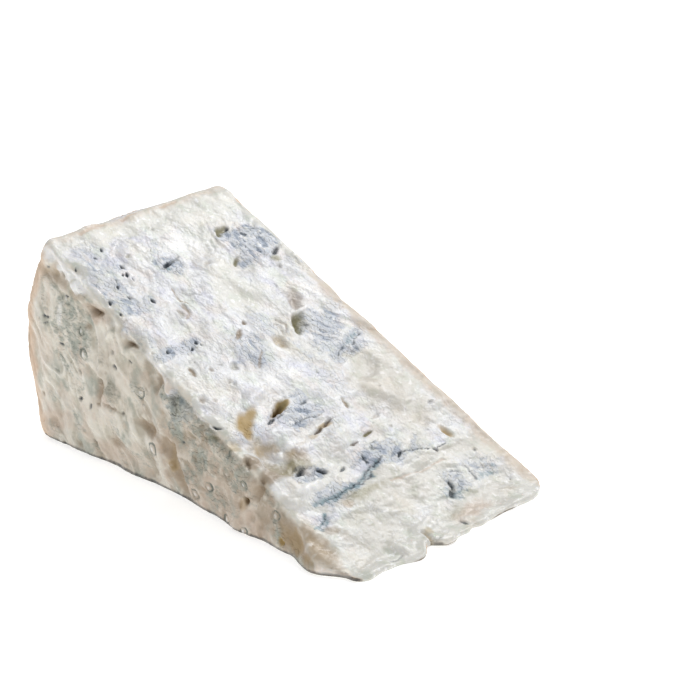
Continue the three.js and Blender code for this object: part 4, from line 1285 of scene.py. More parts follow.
        # Under the overhanging cut edge near the front: mould, and brown painted shade.
        shade_and_mould_under_edge = (1 - smooth(4.0, 15.0, off_cut)) * smooth(-16.0, -2.0, u) * (1 - spill) * on
        skin.dab(Tint.MOULD, 0.75 * shade_and_mould_under_edge * Grain.cloud(-0.5, 0.3, flowing, 6.0, 239))
        skin.dab(Tint.BROWN, 0.3 * shade_and_mould_under_edge)
        low = 1 - smooth(6.0, 34.0, w + 5.0 * ragged)
        skin.dab(Tint.BLUSH, (0.25 + 0.35 * low) * Grain.cloud(-0.3, 0.5, q, 7.0, 220) * on)
        skin.dab(Tint.BROWN, 0.4 * Grain.cloud(0.15, 0.8, flowing, 8.0, 219) * on)
        skin.dab(Tint.CREAM, 0.6 * Grain.cloud(0.2, 0.7, flowing, 5.0, 221) * (1 - 0.5 * front) * on)
        skin.dab(Tint.CREAM, 0.95 * ribbons * (1 - 0.4 * front) * on)
        skin.dab(Tint.BROWN, 0.62 * front * Grain.cloud(0.1, 0.5, q, 5.0, 240) * on)
        skin.dab(Tint.CREAM, 0.6 * front * Grain.cloud(0.2, 0.6, q, 4.2, 241) * on)
        strands = np.maximum(ribbons, Grain.cloud(0.05, 0.45, flowing, 3.2, 242))
        skin.paint[Tint.BROWN] *= 1 - 0.8 * front * strands
        strokes = Grain.swirl(flowing, 1.9, 237) + 0.6 * Grain.swirl(q, 1.2, 238)
        skin.dab(Tint.STREAK, skin.paint[Tint.MOULD] * smooth(-0.05, 0.6, strokes) * on)
        # Painted contact shadow: a thin dark line along the foot, where the wedge meets the board.
        contact_shadow = (1 - smooth(1.0, 2.2, p[:, 2])) * on
        skin.dab(Tint.UMBER, 0.5 * contact_shadow)
        skin.dab(Tint.DARK, 0.6 * contact_shadow)


class RindFace(CheeseFace):
    """The curved rind and the wheel's flat face, dry and rough, with the needles' entry holes."""

    seed = 300
    columns, rows = 11, 5
    first_hole = -66.0
    hole_spacing = 14.0
    row_share = 0.9
    stray = 1.5
    hole_width = 2.3
    hole_depth = 1.5
    margin = 6.0

    def spread(self, p: Array, normal: Array) -> tuple[Array, ...]:
        """Along X, up, the distance off the flat side and the share of both kinds of rind."""
        facing = np.maximum(normal[:, 1], -normal[:, 0])
        return p[:, 0], p[:, 2], np.maximum(self.form.off_flat(p), 0.0), smooth(0.35, 0.8, facing)

    def marks(self) -> list[Mark]:
        """Needle holes in rows over the flat face, each a little out of line.

        Returns:
            The holes that find room under the sloping cut.
        """
        draw = np.random.default_rng(self.seed)
        holes = []
        for column, row in np.ndindex(self.columns, self.rows):
            x = self.first_hole + self.hole_spacing * (column + 0.5 * (row % 2))
            x += draw.uniform(-self.stray, self.stray)
            z = self.margin + self.hole_spacing * row * self.row_share + draw.uniform(-self.stray, self.stray)
            if z < self.form.cut_height(x) - self.margin:
                holes.append(Hollow((x, z), (x, z + 0.4), self.hole_width, self.hole_depth,
                                    Tint.DARK, 0.85, 0.85, 0.3))
        return holes

    def texture(self, place: Place, p: Array, skin: Skin) -> None:
        """A dry, pressed skin with wrinkles and small blisters.

        Args:
            place: where the points lie on the face.
            p: the points of the skin.
            skin: the skin to change.
        """
        on = place.on
        thick = self.stoutness(p)
        broad = 0.34 * thick * Grain.swell(p, 26.0, 4)
        wrinkle = np.abs(Grain.swirl(p * np.array([0.6, 1.0, 1.6]), 5.0, 311))
        near, _ = Grain.curds(p, 2.6, 312)
        small = 0.22 * Grain.swirl(p, 6.0, 313) + 0.12 * Grain.swirl(p, 2.6, 314)
        small += 0.16 * (0.55 - near) - 0.35 * (1 - smooth(0.0, 0.12, wrinkle))
        skin.height += (broad + (0.4 + 0.6 * thick) * small) * on
        skin.dab(Tint.RIND, on)
        skin.dab(Tint.CREST_AND_PAINTED_SHADE, smooth(-0.4, 0.35, small) * on)
        bloom = Grain.swirl(p, 15.0, 315) + 0.4 * Grain.swirl(p, 4.0, 318)
        skin.dab(Tint.MOULD, 0.7 * smooth(0.1, 0.7, bloom) * on)
        patches = smooth(0.0, 0.7, Grain.swirl(p, 11.0, 316) - 0.4 * small)
        skin.dab(Tint.BROWN, (0.34 + 0.4 * patches) * on)
        skin.dab(Tint.OCHRE, 0.4 * Grain.cloud(0.1, 0.8, p, 19.0, 317) * on)
        skin.dab(Tint.UMBER, 0.3 * (1 - smooth(0.0, 0.1, wrinkle)) * smooth(-0.2, 0.4, bloom) * on)


class Underside:
    """The radial cut that the wedge lies on: pressed flat, moist, veined like the top."""

    reach = 4.0

    def dress(self, p: Array, inland: Array, skin: Skin) -> Array:
        """Tint the underside and press small hollows up into it.

        Args:
            p: points of the underside.
            inland: how far each is inside its edge.
            skin: the skin to change, of these points alone.

        Returns:
            The height of each point over the board.
        """
        skin.dab(Tint.CREST_AND_PAINTED_SHADE, Grain.cloud(-0.6, 0.6, p, 4.0, 411))
        skin.dab(Tint.CREAM, 0.6 * Grain.cloud(-0.4, 0.5, p, 20.0, 412))
        veins = np.abs(Grain.swirl(p * np.array([1.0, 0.5, 1.0]), 17.0, 413))
        patches = Grain.cloud(0.15, 0.6, p, 21.0, 414)
        skin.dab(Tint.MOULD, np.maximum(0.8 * (1 - smooth(0.02, 0.14, veins)), 0.8 * patches))
        skin.dab(Tint.TEAL, 0.6 * patches * Grain.cloud(0.3, 0.7, p, 8.0, 415))
        skin.dab(Tint.BROWN, 0.4 * Grain.cloud(0.3, 0.8, p, 12.0, 416))
        near, name = Grain.curds(p * np.array([1.0, 0.6, 1.0]), 9.0, 417)
        pits = smooth(0.42, 0.1, near) * smooth(0.55, 0.8, name)
        skin.dab(Tint.OLIVE, 0.6 * pits)
        return smooth(0.5, self.reach, inland) * (0.9 * pits + 0.15 * Grain.cloud(0.1, 0.8, p, 6.0, 418))


# ---- the mesh
@dataclass(frozen=True)
class Chart:
    """Where one face lies on the flat sheet of texture places, in millimetres of that sheet."""

    corner: Pair
    scale: float
    turned: bool = False

    def lay(self, u: Array, w: Array) -> Array:
        """Places on the sheet for flat coordinates that start at 0."""
        first, second = (w, u) if self.turned else (u, w)
        return np.stack([self.corner[0] + self.scale * first, self.corner[1] + self.scale * second], 1)


class Side(Enum):
    """The parts of the mesh, each with its own chart."""

    CUT = Chart((1.0, 1.0), 1.0)
    SOLE = Chart((1.0, 102.0), 0.85)
    LEVEL = Chart((1.0, 188.0), 0.85)
    RIND = Chart((168.0, 1.0), 0.85, True)
    FLAT = Chart((168.0, 88.0), 0.85, True)
    NOSE = Chart((168.0, 232.0), 0.8)


@dataclass
class CheeseWedge:
    """The whole wedge as one closed mesh: fine where the cut shows most, coarser elsewhere."""

    form: WedgeForm
    along: int = 300
    across: int = 172
    level_row: float = 0.62
    flat_row: float = 1.3
    rind_row: float = 1.0
    nose_rows: int = 5
    sole_spacing: float = 1.8
    sole_border: float = 0.6
    least_room: float = 1.7
    room_growth: float = 0.6
    room_share: float = 0.42
    brink: Pair = (0.5, 3.0)
    brink_share: float = 0.4
    lowest: float = 0.15
    sheet: float = 254.0
    texture_map: str = "OFBake"

    def __post_init__(self) -> None:
        """Start with no points and no triangles."""
        self.spots: dict[tuple[int, int, int], int] = {}
        self.measures: list[Triple] = []
        self.triangles: list[tuple[int, int, int]] = []
        self.sides: list[Side] = []

    def spot(self, i: int, j: int, c: float) -> int:
        """Number of the point at a place of the net, which is made once.

        Args:
            i: column along the slope.
            j: column across it.
            c: share of the height.

        Returns:
            The point's number.
        """
        key = (i, j, round(c * 1e6))
        if key not in self.spots:
            self.spots[key] = len(self.measures)
            self.measures.append((i / self.along, j / self.across, c))
        return self.spots[key]

    def column(self, i: int, j: int, rows: int) -> list[int]:
        """Numbers of the points standing on one place of the board."""
        return [self.spot(i, j, k / rows) for k in range(rows + 1)]

    def zip_columns(self, left: list[int], right: list[int], side: Side) -> None:
        """Fill the strip between two columns of points.

        Args:
            left, right: the columns, each from the board upward.
            side: the side that the strip is on.
        """
        i = j = 0
        last_left, last_right = len(left) - 1, len(right) - 1
        while i < last_left or j < last_right:
            if j >= last_right or (i < last_left and (i + 1) / last_left <= (j + 1) / last_right):
                self.triangles.append((left[i], right[j], left[i + 1]))
                i += 1
            else:
                self.triangles.append((left[i], right[j], right[j + 1]))
                j += 1
            self.sides.append(side)

    def rows_at(self, i: int, row: float) -> int:
        """How many rows of a height stand on column i."""
        x = lerp(self.form.high_edge[0], self.form.nose_x, i / self.along)
        return max(self.nose_rows, round(float(self.form.cut_height(x)) / row))

    def upright_sides(self) -> list[int]:
        """Net the level side, the flat side, the rind and the thin edge.

        Returns:
            The numbers of the points on the board, all the way round.
        """
        rind_rows = self.rows_at(0, self.rind_row)
        level, flat = [], []
        for i in range(self.along + 1):
            end = rind_rows if i == 0 else self.nose_rows if i == self.along else 0
            level.append(self.column(i, 0, end or self.rows_at(i, self.level_row)))
            flat.append(self.column(i, self.across, end or self.rows_at(i, self.flat_row)))
        rind = [self.column(0, j, rind_rows) for j in range(self.across + 1)]
        nose = [self.column(self.along, j, self.nose_rows) for j in range(self.across + 1)]
        for i in range(self.along):
            self.zip_columns(level[i], level[i + 1], Side.LEVEL)
            self.zip_columns(flat[i + 1], flat[i], Side.FLAT)
        for j in range(self.across):
            self.zip_columns(rind[j + 1], rind[j], Side.RIND)
            self.zip_columns(nose[j], nose[j + 1], Side.NOSE)
        foot = [c[0] for c in level] + [c[0] for c in nose[1:]]
        return foot + [c[0] for c in flat[-2::-1]] + [c[0] for c in rind[-2:0:-1]]

    def cut_quads(self) -> Array:
        """Net the sloping cut.

        Returns:
            The corners of its four-sided meshes, counted round.
        """
        net = np.array([[self.spot(i, j, 1.0) for j in range(self.across + 1)]
                        for i in range(self.along + 1)])
        quads = np.stack([net[:-1, :-1], net[1:, :-1], net[1:, 1:], net[:-1, 1:]], -1)
        return quads.reshape(-1, 4)

    def relief(self, p: Array, skin: Skin) -> Array:
        """Height of the relief, calmer at the flat edge and shallower than the wedge is thick.

        Args:
            p: points of the plain skin.
            skin: what each point carries.

        Returns:
            One height for each point.
        """
        off_cut = self.form.off_cut(p)
        brink = np.hypot(np.maximum(off_cut, 0.0), np.maximum(self.form.off_flat(p), 0.0))
        height = skin.height * lerp(self.brink_share, 1.0, smooth(*self.brink, brink))
        inland = np.maximum(np.maximum(off_cut, self.form.off_level(p)), 0.0)
        room = np.minimum(self.least_room + self.room_growth * inland,
                          self.room_share * self.form.cut_height(p[:, 0]))
        return np.where(height < 0, -room * np.tanh(-height / room), height)

    def surface(self) -> tuple[Array, Skin]:
        """Put the net on the wedge and dress it.

        Returns:
            Every point on the finished surface, and what the points carry.
        """
        a, b, c = np.array(self.measures).T
        p = self.form.skin_point(a, b, c)
        normal = self.form.gradient(self.form.skin, p)
        skin = Skin.bare(len(p))
        for face in (CutFace(self.form), LevelFace(self.form), RindFace(self.form)):
            face.dress(p, normal, skin)
        height = self.relief(p, skin)
        normal[:, 2] *= np.where(normal[:, 2] < 0, smooth(2.0, 6.0, p[:, 2]), 1.0)
        p = p + normal * height[:, None]
        p[:, 2] = np.maximum(p[:, 2], self.lowest)
        return p, skin

    def sole(self, foot: Array) -> tuple[Array, Array]:
        """Net the underside inside the foot.

        Args:
            foot: the points round the foot, in order.

        Returns:
            The points of the underside, its border first, and its triangles over them.
        """
        run = np.roll(foot, -1, 0) - np.roll(foot, 1, 0)
        run = run[:, :2] / np.linalg.norm(run[:, :2], axis=1, keepdims=True)
        inward = np.stack([-run[:, 1], run[:, 0]], 1) * self.form.foot_edge * self.sole_border
        border = foot[:, :2] + inward
        low, high = border.min(0), border.max(0)
        rows = np.arange(low[1], high[1], self.sole_spacing * 0.866)
        inner = np.array([(x + 0.5 * self.sole_spacing * (k % 2), y) for k, y in enumerate(rows)
                          for x in np.arange(low[0], high[0], self.sole_spacing)])
        flat = np.column_stack([inner, np.zeros(len(inner))])
        inner = inner[self.form.outline_depth(flat)[0] > 2 * self.sole_spacing]
        places = [Vector(xy) for xy in np.vstack([border, inner])]
        ring = [tuple(range(len(border)))]
        points, _, faces, *_ = delaunay_2d_cdt(places, [], ring, 1, 1e-6)
        return np.column_stack([np.array(points), np.zeros(len(points))]), np.array(faces)

    def charts(self, p: Array, corners: Array, sides: Array, net: Array) -> Array:
        """Texture places for the corners of the triangles.

        Args:
            p: every point.
            corners: the point at each corner, triangle by triangle.
            sides: the part of the mesh that each corner belongs to.
            net: the three measures of each point's place in the net.

        Returns:
            One place from 0 to 1 in each direction for each corner.
        """
        places = np.zeros((len(corners), 2))
        low = p.min(0)
        x, y, z = (p[corners] - low).T
        a, b, c = net[corners].T
        length, width, height = p.max(0) - low
        slope = math.hypot(length, height) * 0.95
        flat = {Side.CUT: (a * slope, b * width), Side.SOLE: (x, y), Side.LEVEL: (x, z), Side.FLAT: (x, z),
                Side.RIND: (y, c * height * 1.05), Side.NOSE: (y, c * 8.0)}
        for side, (u, w) in flat.items():
            mine = sides == list(Side).index(side)
            places[mine] = side.value.lay(u[mine], w[mine])
        return places / self.sheet

    def build(self) -> bpy.types.Object:
        """Make the mesh object, with a weight attribute for each tint.

        Returns:
            The wedge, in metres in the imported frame.
        """
        foot = self.upright_sides()
        quads = self.cut_quads()
        p, skin = self.surface()
        corners = p[quads]
        short = (np.linalg.norm(corners[:, 0] - corners[:, 2], axis=1)
                 < np.linalg.norm(corners[:, 1] - corners[:, 3], axis=1))[:, None]
        first = np.where(short, quads[:, [0, 1, 2]], quads[:, [0, 1, 3]])
        second = np.where(short, quads[:, [0, 2, 3]], quads[:, [1, 2, 3]])
        count, ring = len(p), len(foot)
        under, under_faces = self.sole(p[foot])
        under_skin = Skin.bare(len(under))
        inland = self.form.outline_depth(under)[0] - self.sole_spacing
        under[:, 2] = Underside().dress(under, inland, under_skin)
        under[:ring, 2] = 0.0
        k = np.arange(ring)
        after = (k + 1) % ring
        foot = np.array(foot)
        border = np.vstack([np.stack([foot[k], count + k, count + after], 1),
                            np.stack([foot[k], count + after, foot[after]], 1)])
        faces = np.vstack([np.array(self.triangles), first, second, border, count + under_faces[:, ::-1]])
        order = {side: number for number, side in enumerate(Side)}
        sides = np.array([order[s] for s in self.sides] + [order[Side.CUT]] * (2 * len(quads))
                         + [order[Side.SOLE]] * (len(border) + len(under_faces)))
        net = np.vstack([np.array(self.measures), np.zeros((len(under), 3))])
        points = np.vstack([p, under])
        places = self.charts(points, faces.ravel(), np.repeat(sides, 3), net)
        mesh = bpy.data.meshes.new("cheese_wedge_skin")
        mesh.from_pydata(((points + self.form.frame_shift) * METRES).tolist(), [], faces.tolist())
        mesh.shade_smooth()
        mesh.uv_layers.new(name=self.texture_map).data.foreach_set("uv", places.ravel())
        for tint in Tint:
            weight = np.concatenate([skin.paint[tint], under_skin.paint[tint]])
            mesh.attributes.new(tint.value, "FLOAT", "POINT").data.foreach_set("value", weight)
        mesh.update()
        wedge = bpy.data.objects.new("gorgonzola_wedge", mesh)
        bpy.context.scene.collection.objects.link(wedge)
        log.info("gorgonzola_wedge: %d points, %d triangles", len(points), len(faces))
        return wedge


# ---- finishes
class Bench:
    """A material's node tree, with short ways to lay the nodes that the finishes use."""

    # A colour Mix node's sockets, which share their names with its number sockets.
    MIX_UNDER, MIX_OVER, MIX_RESULT = 6, 7, 2

    def __init__(self, name: str) -> None:
        """Start a material with its shader and its place input.

        Args:
            name: the material's name.
        """
        self.material = bpy.data.materials.new(name)
        self.material.use_nodes = True
        self.tree = self.material.node_tree
        self.shader = self.tree.nodes["Principled BSDF"]
        self.place = self.tree.nodes.new("ShaderNodeTexCoord").outputs["Object"]

    def put(self, value: Socket | float | Colour, socket: Socket) -> None:
        """Link a socket to another, or set it to a plain value.

        Args:
            value: the other socket or the value.
            socket: the socket that takes it.
        """
        if isinstance(value, bpy.types.NodeSocket):
            self.tree.links.new(value, socket)
        else:
            socket.default_value = value

    def weight(self, tint: Tint) -> Socket:
        """Read the weight of a tint on the mesh.

        Args:
            tint: which weight.

        Returns:
            The socket with it.
        """
        node = self.tree.nodes.new("ShaderNodeAttribute")
        node.attribute_name = tint.value
        return node.outputs["Fac"]

    def maths(self, operation: str, first: Socket | float, second: Socket | float) -> Socket:
        """One sum on two values.

        Args:
            operation: Blender's name for it.
            first, second: sockets or plain numbers.

        Returns:
            The socket with its result.
        """
        node = self.tree.nodes.new("ShaderNodeMath")
        node.operation = operation
        self.put(first, node.inputs[0])
        self.put(second, node.inputs[1])
        return node.outputs[0]

    def grain(self, length: float, detail: float = 2.0, stretch: Triple = (1, 1, 1),
              shift: float = 0.0) -> Socket:
        """Noise of about 0 to 1 fixed to the object.

        Args:
            length: size of its humps in millimetres.
            detail: how many finer layers it has.
            stretch: how much finer it is along each axis.
            shift: moves it, so that two noises differ.

        Returns:
            The socket with its value.
        """
        mapping = self.tree.nodes.new("ShaderNodeMapping")
        mapping.inputs["Location"].default_value = (shift, 0.3 * shift, 0.7 * shift)
        mapping.inputs["Scale"].default_value = tuple(s / (length * METRES) for s in stretch)
        self.put(self.place, mapping.inputs["Vector"])
        noise = self.tree.nodes.new("ShaderNodeTexNoise")
        noise.inputs["Scale"].default_value = 1.0
        noise.inputs["Detail"].default_value = detail
        self.put(mapping.outputs[0], noise.inputs["Vector"])
        return noise.outputs["Fac"]

    def rise(self, value: Socket, low: float, high: float, top: float = 1.0) -> Socket:
        """A soft rise.

        Args:
            value: what it follows.
            low, high: where it starts and ends.
            top: how high it comes from 0.

        Returns:
            The socket with its value.
        """
        node = self.tree.nodes.new("ShaderNodeMapRange")
        node.interpolation_type = "SMOOTHSTEP"
        for name, number in (("From Min", low), ("From Max", high), ("To Min", 0.0), ("To Max", top)):
            node.inputs[name].default_value = number
        self.put(value, node.inputs["Value"])
        return node.outputs["Result"]

    def broken(self, tint: Tint, grain: Socket, strength: float, low: float, high: float,
               top: float = 1.0) -> Socket:
        """A tint's weight with its edge broken up by a grain.

        Args:
            tint: which weight.
            grain: noise of 0 to 1.
            strength: how much the grain moves the edge.
            low, high, top: as for rise.

        Returns:
            The socket with the broken weight, 0 where the tint is absent.
        """
        weight = self.weight(tint)
        swing = self.maths("MULTIPLY", self.maths("SUBTRACT", grain, 0.5), strength)
        moved = self.rise(self.maths("ADD", weight, swing), low, high, top)
        return self.maths("MULTIPLY", moved, self.rise(weight, 0.0, 0.25))

    def over(self, under: Socket | Colour, colour: Socket | Colour, weight: Socket) -> Socket:
        """Lay a colour over another by a weight.

        Args:
            under: the colour below.
            colour: the colour above.
            weight: how much of it shows.

        Returns:
            The socket with the mixed colour.
        """
        node = self.tree.nodes.new("ShaderNodeMix")
        node.data_type = "RGBA"
        self.put(weight, node.inputs["Factor"])
        self.put(under, node.inputs[self.MIX_UNDER])
        self.put(colour, node.inputs[self.MIX_OVER])
        return node.outputs[self.MIX_RESULT]

    def patches(self, under: Socket | Colour, colour: Socket | Colour, grain: Socket, *limits: float
                ) -> Socket:
        """Lay a colour over another where a grain is high, with limits as for rise."""
        return self.over(under, colour, self.rise(grain, *limits))

    def tinted(self, under: Socket, colour: Socket | Colour, tint: Tint, grain: Socket, *limits: float
               ) -> Socket:
        """Lay a colour over another where the mesh carries a tint, with limits as for broken."""
        return self.over(under, colour, self.broken(tint, grain, *limits))


@dataclass(frozen=True)
class CheesePaste:
    """The finish of the whole wedge: wet white paste, blue-green mould, waxy side, dry rind."""

    white: Colour = srgb(229, 230, 233)
    lilac: Colour = srgb(210, 211, 224)
    mint: Colour = srgb(213, 219, 210)
    rose: Colour = srgb(225, 217, 214)
    # Painted shade: the greyer paste laid in the valleys of the relief, as are the other valley colours.
    valley: Colour = srgb(207, 207, 208)
    cream: Colour = srgb(214, 213, 206)
    pale_green: Colour = srgb(199, 203, 190)
    butter: Colour = srgb(226, 218, 204)
    # White of crumbs, and also the colour of the painted light on shaded rounded edges.
    bright: Colour = srgb(247, 247, 246)
    level: Colour = srgb(219, 213, 200)
    level_valley_shade: Colour = srgb(190, 184, 168)
    level_cream: Colour = srgb(229, 225, 214)
    wax: Colour = srgb(186, 174, 157)
    wax_valley_shade: Colour = srgb(164, 152, 134)
    blush: Colour = srgb(206, 187, 170)
    rind: Colour = srgb(225, 203, 182)
    rind_valley_shade: Colour = srgb(205, 181, 158)
    haze: Colour = srgb(203, 209, 218)
    mould: Colour = srgb(142, 155, 174)
    slate: Colour = srgb(92, 107, 127)
    sage: Colour = srgb(126, 134, 126)
    deep_sage: Colour = srgb(86, 95, 88)
    moss: Colour = srgb(152, 158, 147)
    dark: Colour = srgb(58, 67, 75)
    teal: Colour = srgb(122, 149, 158)
    olive: Colour = srgb(142, 136, 101)
    ochre: Colour = srgb(176, 147, 88)
    umber: Colour = srgb(92, 70, 36)
    # Brown of stains, and also the colour of the painted shade in hollows, under edges and on shaded slopes.
    brown: Colour = srgb(160, 141, 118)
    ring: Colour = srgb(112, 118, 109)
    wet: float = 0.22
    dull: float = 0.7
    subsurface: float = 0.12
    scatter: float = 0.0015
    scatter_radii: Triple = (1.0, 0.85, 0.6)
    shine: float = 0.36
    fine_bump: float = 0.00022

    def crest(self, bench: Bench) -> Socket:
        """How far a spot stands up, with a fine grain of its own.

        Args:
            bench: the material's nodes.

        Returns:
            The socket with a value of 0 to 1.
        """
        # This weight lays white paste on crests and painted shade in the valleys between them.
        fine = bench.maths("MULTIPLY", bench.maths("SUBTRACT", bench.grain(0.9, 3.0), 0.5), 0.8)
        return bench.rise(bench.maths("ADD", bench.weight(Tint.CREST_AND_PAINTED_SHADE), fine), 0.1, 0.8)

    def base(self, bench: Bench) -> Socket:
        """The paste and the rind under the mould: white crests, and greyer valleys as painted shade.

        Args:
            bench: the material's nodes.

        Returns:
            The colour.
        """
        crest = self.crest(bench)
        paste = bench.over(self.valley, self.white, crest)
        for colour, shift in ((self.lilac, 1.1), (self.mint, 5.1), (self.rose, 9.1)):
            paste = bench.patches(paste, colour, bench.grain(5.5, 4.0, (0.7, 1, 1), shift), 0.5, 0.66, 0.7)
        cream = bench.patches(self.cream, self.pale_green, bench.grain(4.6, 5.0, shift=23.3), 0.5, 0.66, 0.8)
        cream = bench.patches(cream, self.bright, bench.grain(1.9, 3.0, shift=27.1), 0.56, 0.7, 0.8)
        paste = bench.tinted(paste, cream, Tint.CREAM, bench.grain(4.0), 0.4, 0.05, 0.85, 0.9)
        paste = bench.patches(paste, self.butter, bench.grain(13.0, 4.0, shift=31.7), 0.5, 0.68, 0.42)
        level = bench.over(self.level_valley_shade, self.level, crest)
        wax = bench.over(self.wax_valley_shade, self.wax, crest)
        level = bench.tinted(level, wax, Tint.WAX, bench.grain(6.0), 0.5, 0.1, 0.9)
        flow = (1, 1, 0.6)
        level = bench.patches(level, self.moss, bench.grain(7.0, 5.0, flow, 12.1), 0.5, 0.64, 0.75)
        level = bench.patches(level, self.blush, bench.grain(8.0, 5.0, flow, 15.7), 0.52, 0.7, 0.7)
        level = bench.patches(level, self.level, bench.grain(3.4, 5.0, shift=19.3), 0.52, 0.7, 0.7)
        level = bench.tinted(level, self.level_cream, Tint.CREAM, bench.grain(2.6, 3.0), 0.7, 0.1, 1.0, 0.7)
        paste = bench.tinted(paste, level, Tint.LEVEL, bench.grain(3.0, 3.0), 0.45, 0.1, 0.9)
        paste = bench.tinted(paste, self.blush, Tint.BLUSH, bench.grain(3.0), 0.4, 0.05, 0.95, 0.75)
        rind = bench.over(self.rind_valley_shade, self.rind, crest)
        return bench.tinted(paste, rind, Tint.RIND, bench.grain(2.2), 0.4, 0.1, 0.9)

    def veined(self, bench: Bench, colour: Socket) -> Socket:
        """Lay the mould over the base, from a pale haze to dark cracks and specks.

        Args:
            bench: the material's nodes.
            colour: the base.

        Returns:
            The colour with its mould.
        """
        cloud, speck = bench.grain(1.9, 4.0, (0.7, 1, 1)), bench.grain(1.5, 3.0, (0.6, 1, 1), 3.1)
        side = bench.weight(Tint.LEVEL)
        moss = bench.over(self.haze, self.moss, side)
        colour = bench.tinted(colour, moss, Tint.MOULD, cloud, 2.2, 0.3, 1.0, 0.78)
        mould = bench.over(self.mould, self.sage, side)
        slate = bench.over(self.slate, self.deep_sage, side)
        colour = bench.tinted(colour, mould, Tint.STREAK, speck, 0.9, 0.1, 0.9, 0.68)
        colour = bench.tinted(colour, slate, Tint.STREAK, speck, 1.6, 0.8, 1.3, 0.55)
        colour = bench.tinted(colour, self.teal, Tint.TEAL, speck, 1.2, 0.2, 1.0, 0.85)
        fleck = bench.grain(2.0, 2.0, (0.8, 1.2, 1.2), 7.7)
        colour = bench.tinted(colour, self.dark, Tint.MOULD, fleck, 3.6, 1.4, 1.75, 0.8)
        crumbs = bench.broken(Tint.MOULD, bench.grain(2.2, 2.5, (0.6, 1, 1), 4.4), 3.4, 1.15, 1.6, 0.8)
        crumbs = bench.maths("MULTIPLY", crumbs, bench.maths("SUBTRACT", 1.0, side))
        return bench.over(colour, self.bright, crumbs)

    def stained_and_painted_light(self, bench: Bench, colour: Socket) -> Socket:
        """Lay the tints of hollows, slits and needle mouths over the rest: stains, with the painted shade of
        the brown tint and the painted light of the bright one.

        Args:
            bench: the material's nodes.
            colour: the colour below.

        Returns:
            The finished colour.
        """
        edge = bench.grain(1.4, shift=5.3)
        for tint, over, swing, top in (
                (Tint.BROWN, self.brown, 0.2, 0.85), (Tint.OCHRE, self.ochre, 0.2, 0.9),
                (Tint.OLIVE, self.olive, 0.3, 0.95), (Tint.UMBER, self.umber, 0.3, 1.0),
                (Tint.DARK, self.dark, 0.5, 0.97), (Tint.BRIGHT, self.bright, 0.4, 0.9)):
            colour = bench.tinted(colour, over, tint, edge, swing, 0.03, 0.92, top)
        return bench.tinted(colour, self.ring, Tint.RING, edge, 0.35, 0.4, 0.72, 0.9)

    def relief(self, bench: Bench) -> Socket:
        """A grain too fine for the mesh, with crumbs where the mould is.

        Args:
            bench: the material's nodes.

        Returns:
            The bumped normal.
        """
        calm = bench.maths("MAXIMUM", bench.weight(Tint.CREAM), bench.weight(Tint.LEVEL))
        calm = bench.maths("MAXIMUM", calm, bench.weight(Tint.OCHRE))
        rough = bench.maths("MULTIPLY", bench.maths("SUBTRACT", 1.0, calm), 0.34)
        rough = bench.maths("MAXIMUM", rough, bench.rise(bench.weight(Tint.MOULD), 0.1, 0.8))
        crumbs = bench.rise(bench.grain(1.3, 1.0, (0.7, 1, 1), 6.1), 0.4, 0.6, 1.5)
        crumbs = bench.maths("MULTIPLY", crumbs, rough)
        bump = bench.tree.nodes.new("ShaderNodeBump")
        bump.inputs["Strength"].default_value = 1.0
        bump.inputs["Distance"].default_value = self.fine_bump
        ripples = bench.maths("MULTIPLY", bench.grain(2.0, 2.0, (0.7, 1, 1), 8.3), 0.6)
        fine = bench.maths("MULTIPLY", bench.grain(0.8, 3.0, shift=9.1), 0.4)
        bench.put(bench.maths("ADD", bench.maths("ADD", fine, ripples), crumbs), bump.inputs["Height"])
        return bump.outputs["Normal"]

    def build(self) -> bpy.types.Material:
        """The material, wet on the paste and dull on mould, rind and ochre.

        Returns:
            The material.
        """
        bench = Bench("gorgonzola")
        colour = self.stained_and_painted_light(bench, self.veined(bench, self.base(bench)))
        dull = bench.maths("MAXIMUM", bench.rise(bench.weight(Tint.MOULD), 0.2, 0.9, 0.55),
                           bench.rise(bench.weight(Tint.RIND), 0.1, 0.9))
        dull = bench.maths("MAXIMUM", dull, bench.rise(bench.weight(Tint.OCHRE), 0.2, 0.9, 0.8))
        patches = bench.maths("MULTIPLY", bench.grain(5.0, 3.0, shift=1.7), 0.35)
        wetness = bench.maths("ADD", bench.maths("MULTIPLY", dull, self.dull - self.wet), patches)
        shader = bench.shader
        bench.put(colour, shader.inputs["Base Color"])
        bench.put(bench.maths("ADD", wetness, self.wet - 0.14), shader.inputs["Roughness"])
        bench.put(self.relief(bench), shader.inputs["Normal"])
        shader.inputs["Subsurface Weight"].default_value = self.subsurface
        shader.inputs["Subsurface Radius"].default_value = self.scatter_radii
        shader.inputs["Subsurface Scale"].default_value = self.scatter
        shader.inputs["Specular IOR Level"].default_value = self.shine
        return bench.material


@dataclass(frozen=True)
class FloorPaper:
    """The finish of the studio's floor: plain matt white paper that glows a little."""

    colour: Colour = srgb(250, 250, 250)
    shade: Colour = srgb(246, 246, 246)
    roughness: float = 0.9
    glow: float = 0.55

    def build(self) -> bpy.types.Material:
        """The material, with a faint grain in its tone.

        Returns:
            The material.
        """
        bench = Bench("studio paper")
        tone = bench.over(self.colour, self.shade, bench.grain(300.0, 1.0))
        bench.put(tone, bench.shader.inputs["Base Color"])
        bench.shader.inputs["Roughness"].default_value = self.roughness
        bench.shader.inputs["Emission Color"].default_value = self.colour
        bench.shader.inputs["Emission Strength"].default_value = self.glow
        return bench.material


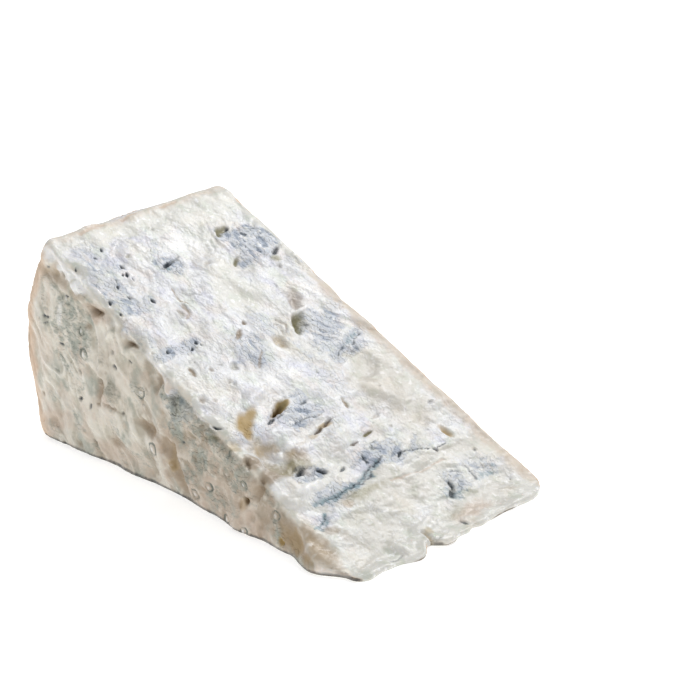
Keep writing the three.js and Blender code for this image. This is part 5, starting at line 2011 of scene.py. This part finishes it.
# ---- the studio
@dataclass(frozen=True)
class Studio:
    """Floor, soft lights and camera. Lengths are in millimetres, angles in degrees."""

    azimuth: float = 42.91
    elevation: float = 22.49
    distance: float = 784.7
    target: Triple = (2.28, 33.59, 30.0)
    lens: float = 123.43
    sensor: float = 36.0
    floor_half: float = 3000.0
    sky: float = 0.62
    key_from: Triple = (-60.0, 680.0, 760.0)
    key_size: float = 620.0
    key_power: float = 5.8

    def floor(self) -> bpy.types.Object:
        """Lay the floor.

        Returns:
            The floor.
        """
        half = self.floor_half * METRES
        mesh = bpy.data.meshes.new("floor")
        mesh.from_pydata([(-half, -half, 0), (half, -half, 0), (half, half, 0), (-half, half, 0)], [],
                         [(0, 1, 2, 3)])
        mesh.materials.append(FloorPaper().build())
        floor = bpy.data.objects.new("floor", mesh)
        bpy.context.scene.collection.objects.link(floor)
        return floor

    def lights(self) -> None:
        """An even pale sky and one large soft key light behind the wedge."""
        world = bpy.data.worlds.new("studio sky")
        world.use_nodes = True
        background = world.node_tree.nodes["Background"]
        background.inputs["Color"].default_value = (1.0, 1.0, 1.0, 1.0)
        background.inputs["Strength"].default_value = self.sky
        bpy.context.scene.world = world
        light = bpy.data.lights.new("key", "AREA")
        light.size = self.key_size * METRES
        light.energy = self.key_power
        key = bpy.data.objects.new("key", light)
        key.location = Vector(self.key_from) * METRES
        key.rotation_euler = Vector(self.key_from).to_track_quat("Z", "Y").to_euler()
        bpy.context.scene.collection.objects.link(key)

    def camera(self) -> None:
        """A long lens, a little above the wedge and off its level side."""
        turn, rise = math.radians(self.azimuth), math.radians(self.elevation)
        back = Vector((math.sin(turn) * math.cos(rise), -math.cos(turn) * math.cos(rise), math.sin(rise)))
        right = Vector((math.cos(turn), math.sin(turn), 0.0))
        up = back.cross(right)
        data = bpy.data.cameras.new("camera")
        data.lens, data.sensor_width = self.lens, self.sensor
        camera = bpy.data.objects.new("camera", data)
        place = (Vector(self.target) + back * self.distance) * METRES
        camera.matrix_world = Matrix.Translation(place) @ Matrix((right, up, back)).transposed().to_4x4()
        bpy.context.scene.collection.objects.link(camera)
        bpy.context.scene.camera = camera

    def set_up(self) -> None:
        """Put up the whole studio."""
        bpy.context.scene.view_settings.view_transform = "Standard"
        self.camera()
        self.floor()
        self.lights()
        log.info("studio: floor, sky, key light and camera")


def main() -> None:
    """Build the studio and the wedge, and hand the wedge to the frame."""
    logging.basicConfig(level=logging.INFO)
    Studio().set_up()
    wedge = CheeseWedge(WedgeForm()).build()
    wedge.data.materials.append(CheesePaste().build())
    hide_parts("cheese_wedge")
    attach(wedge, "root")
    log.info("gorgonzola_wedge: dressed, and stands for the node cheese_wedge")


if __name__ == "__main__":
    main()
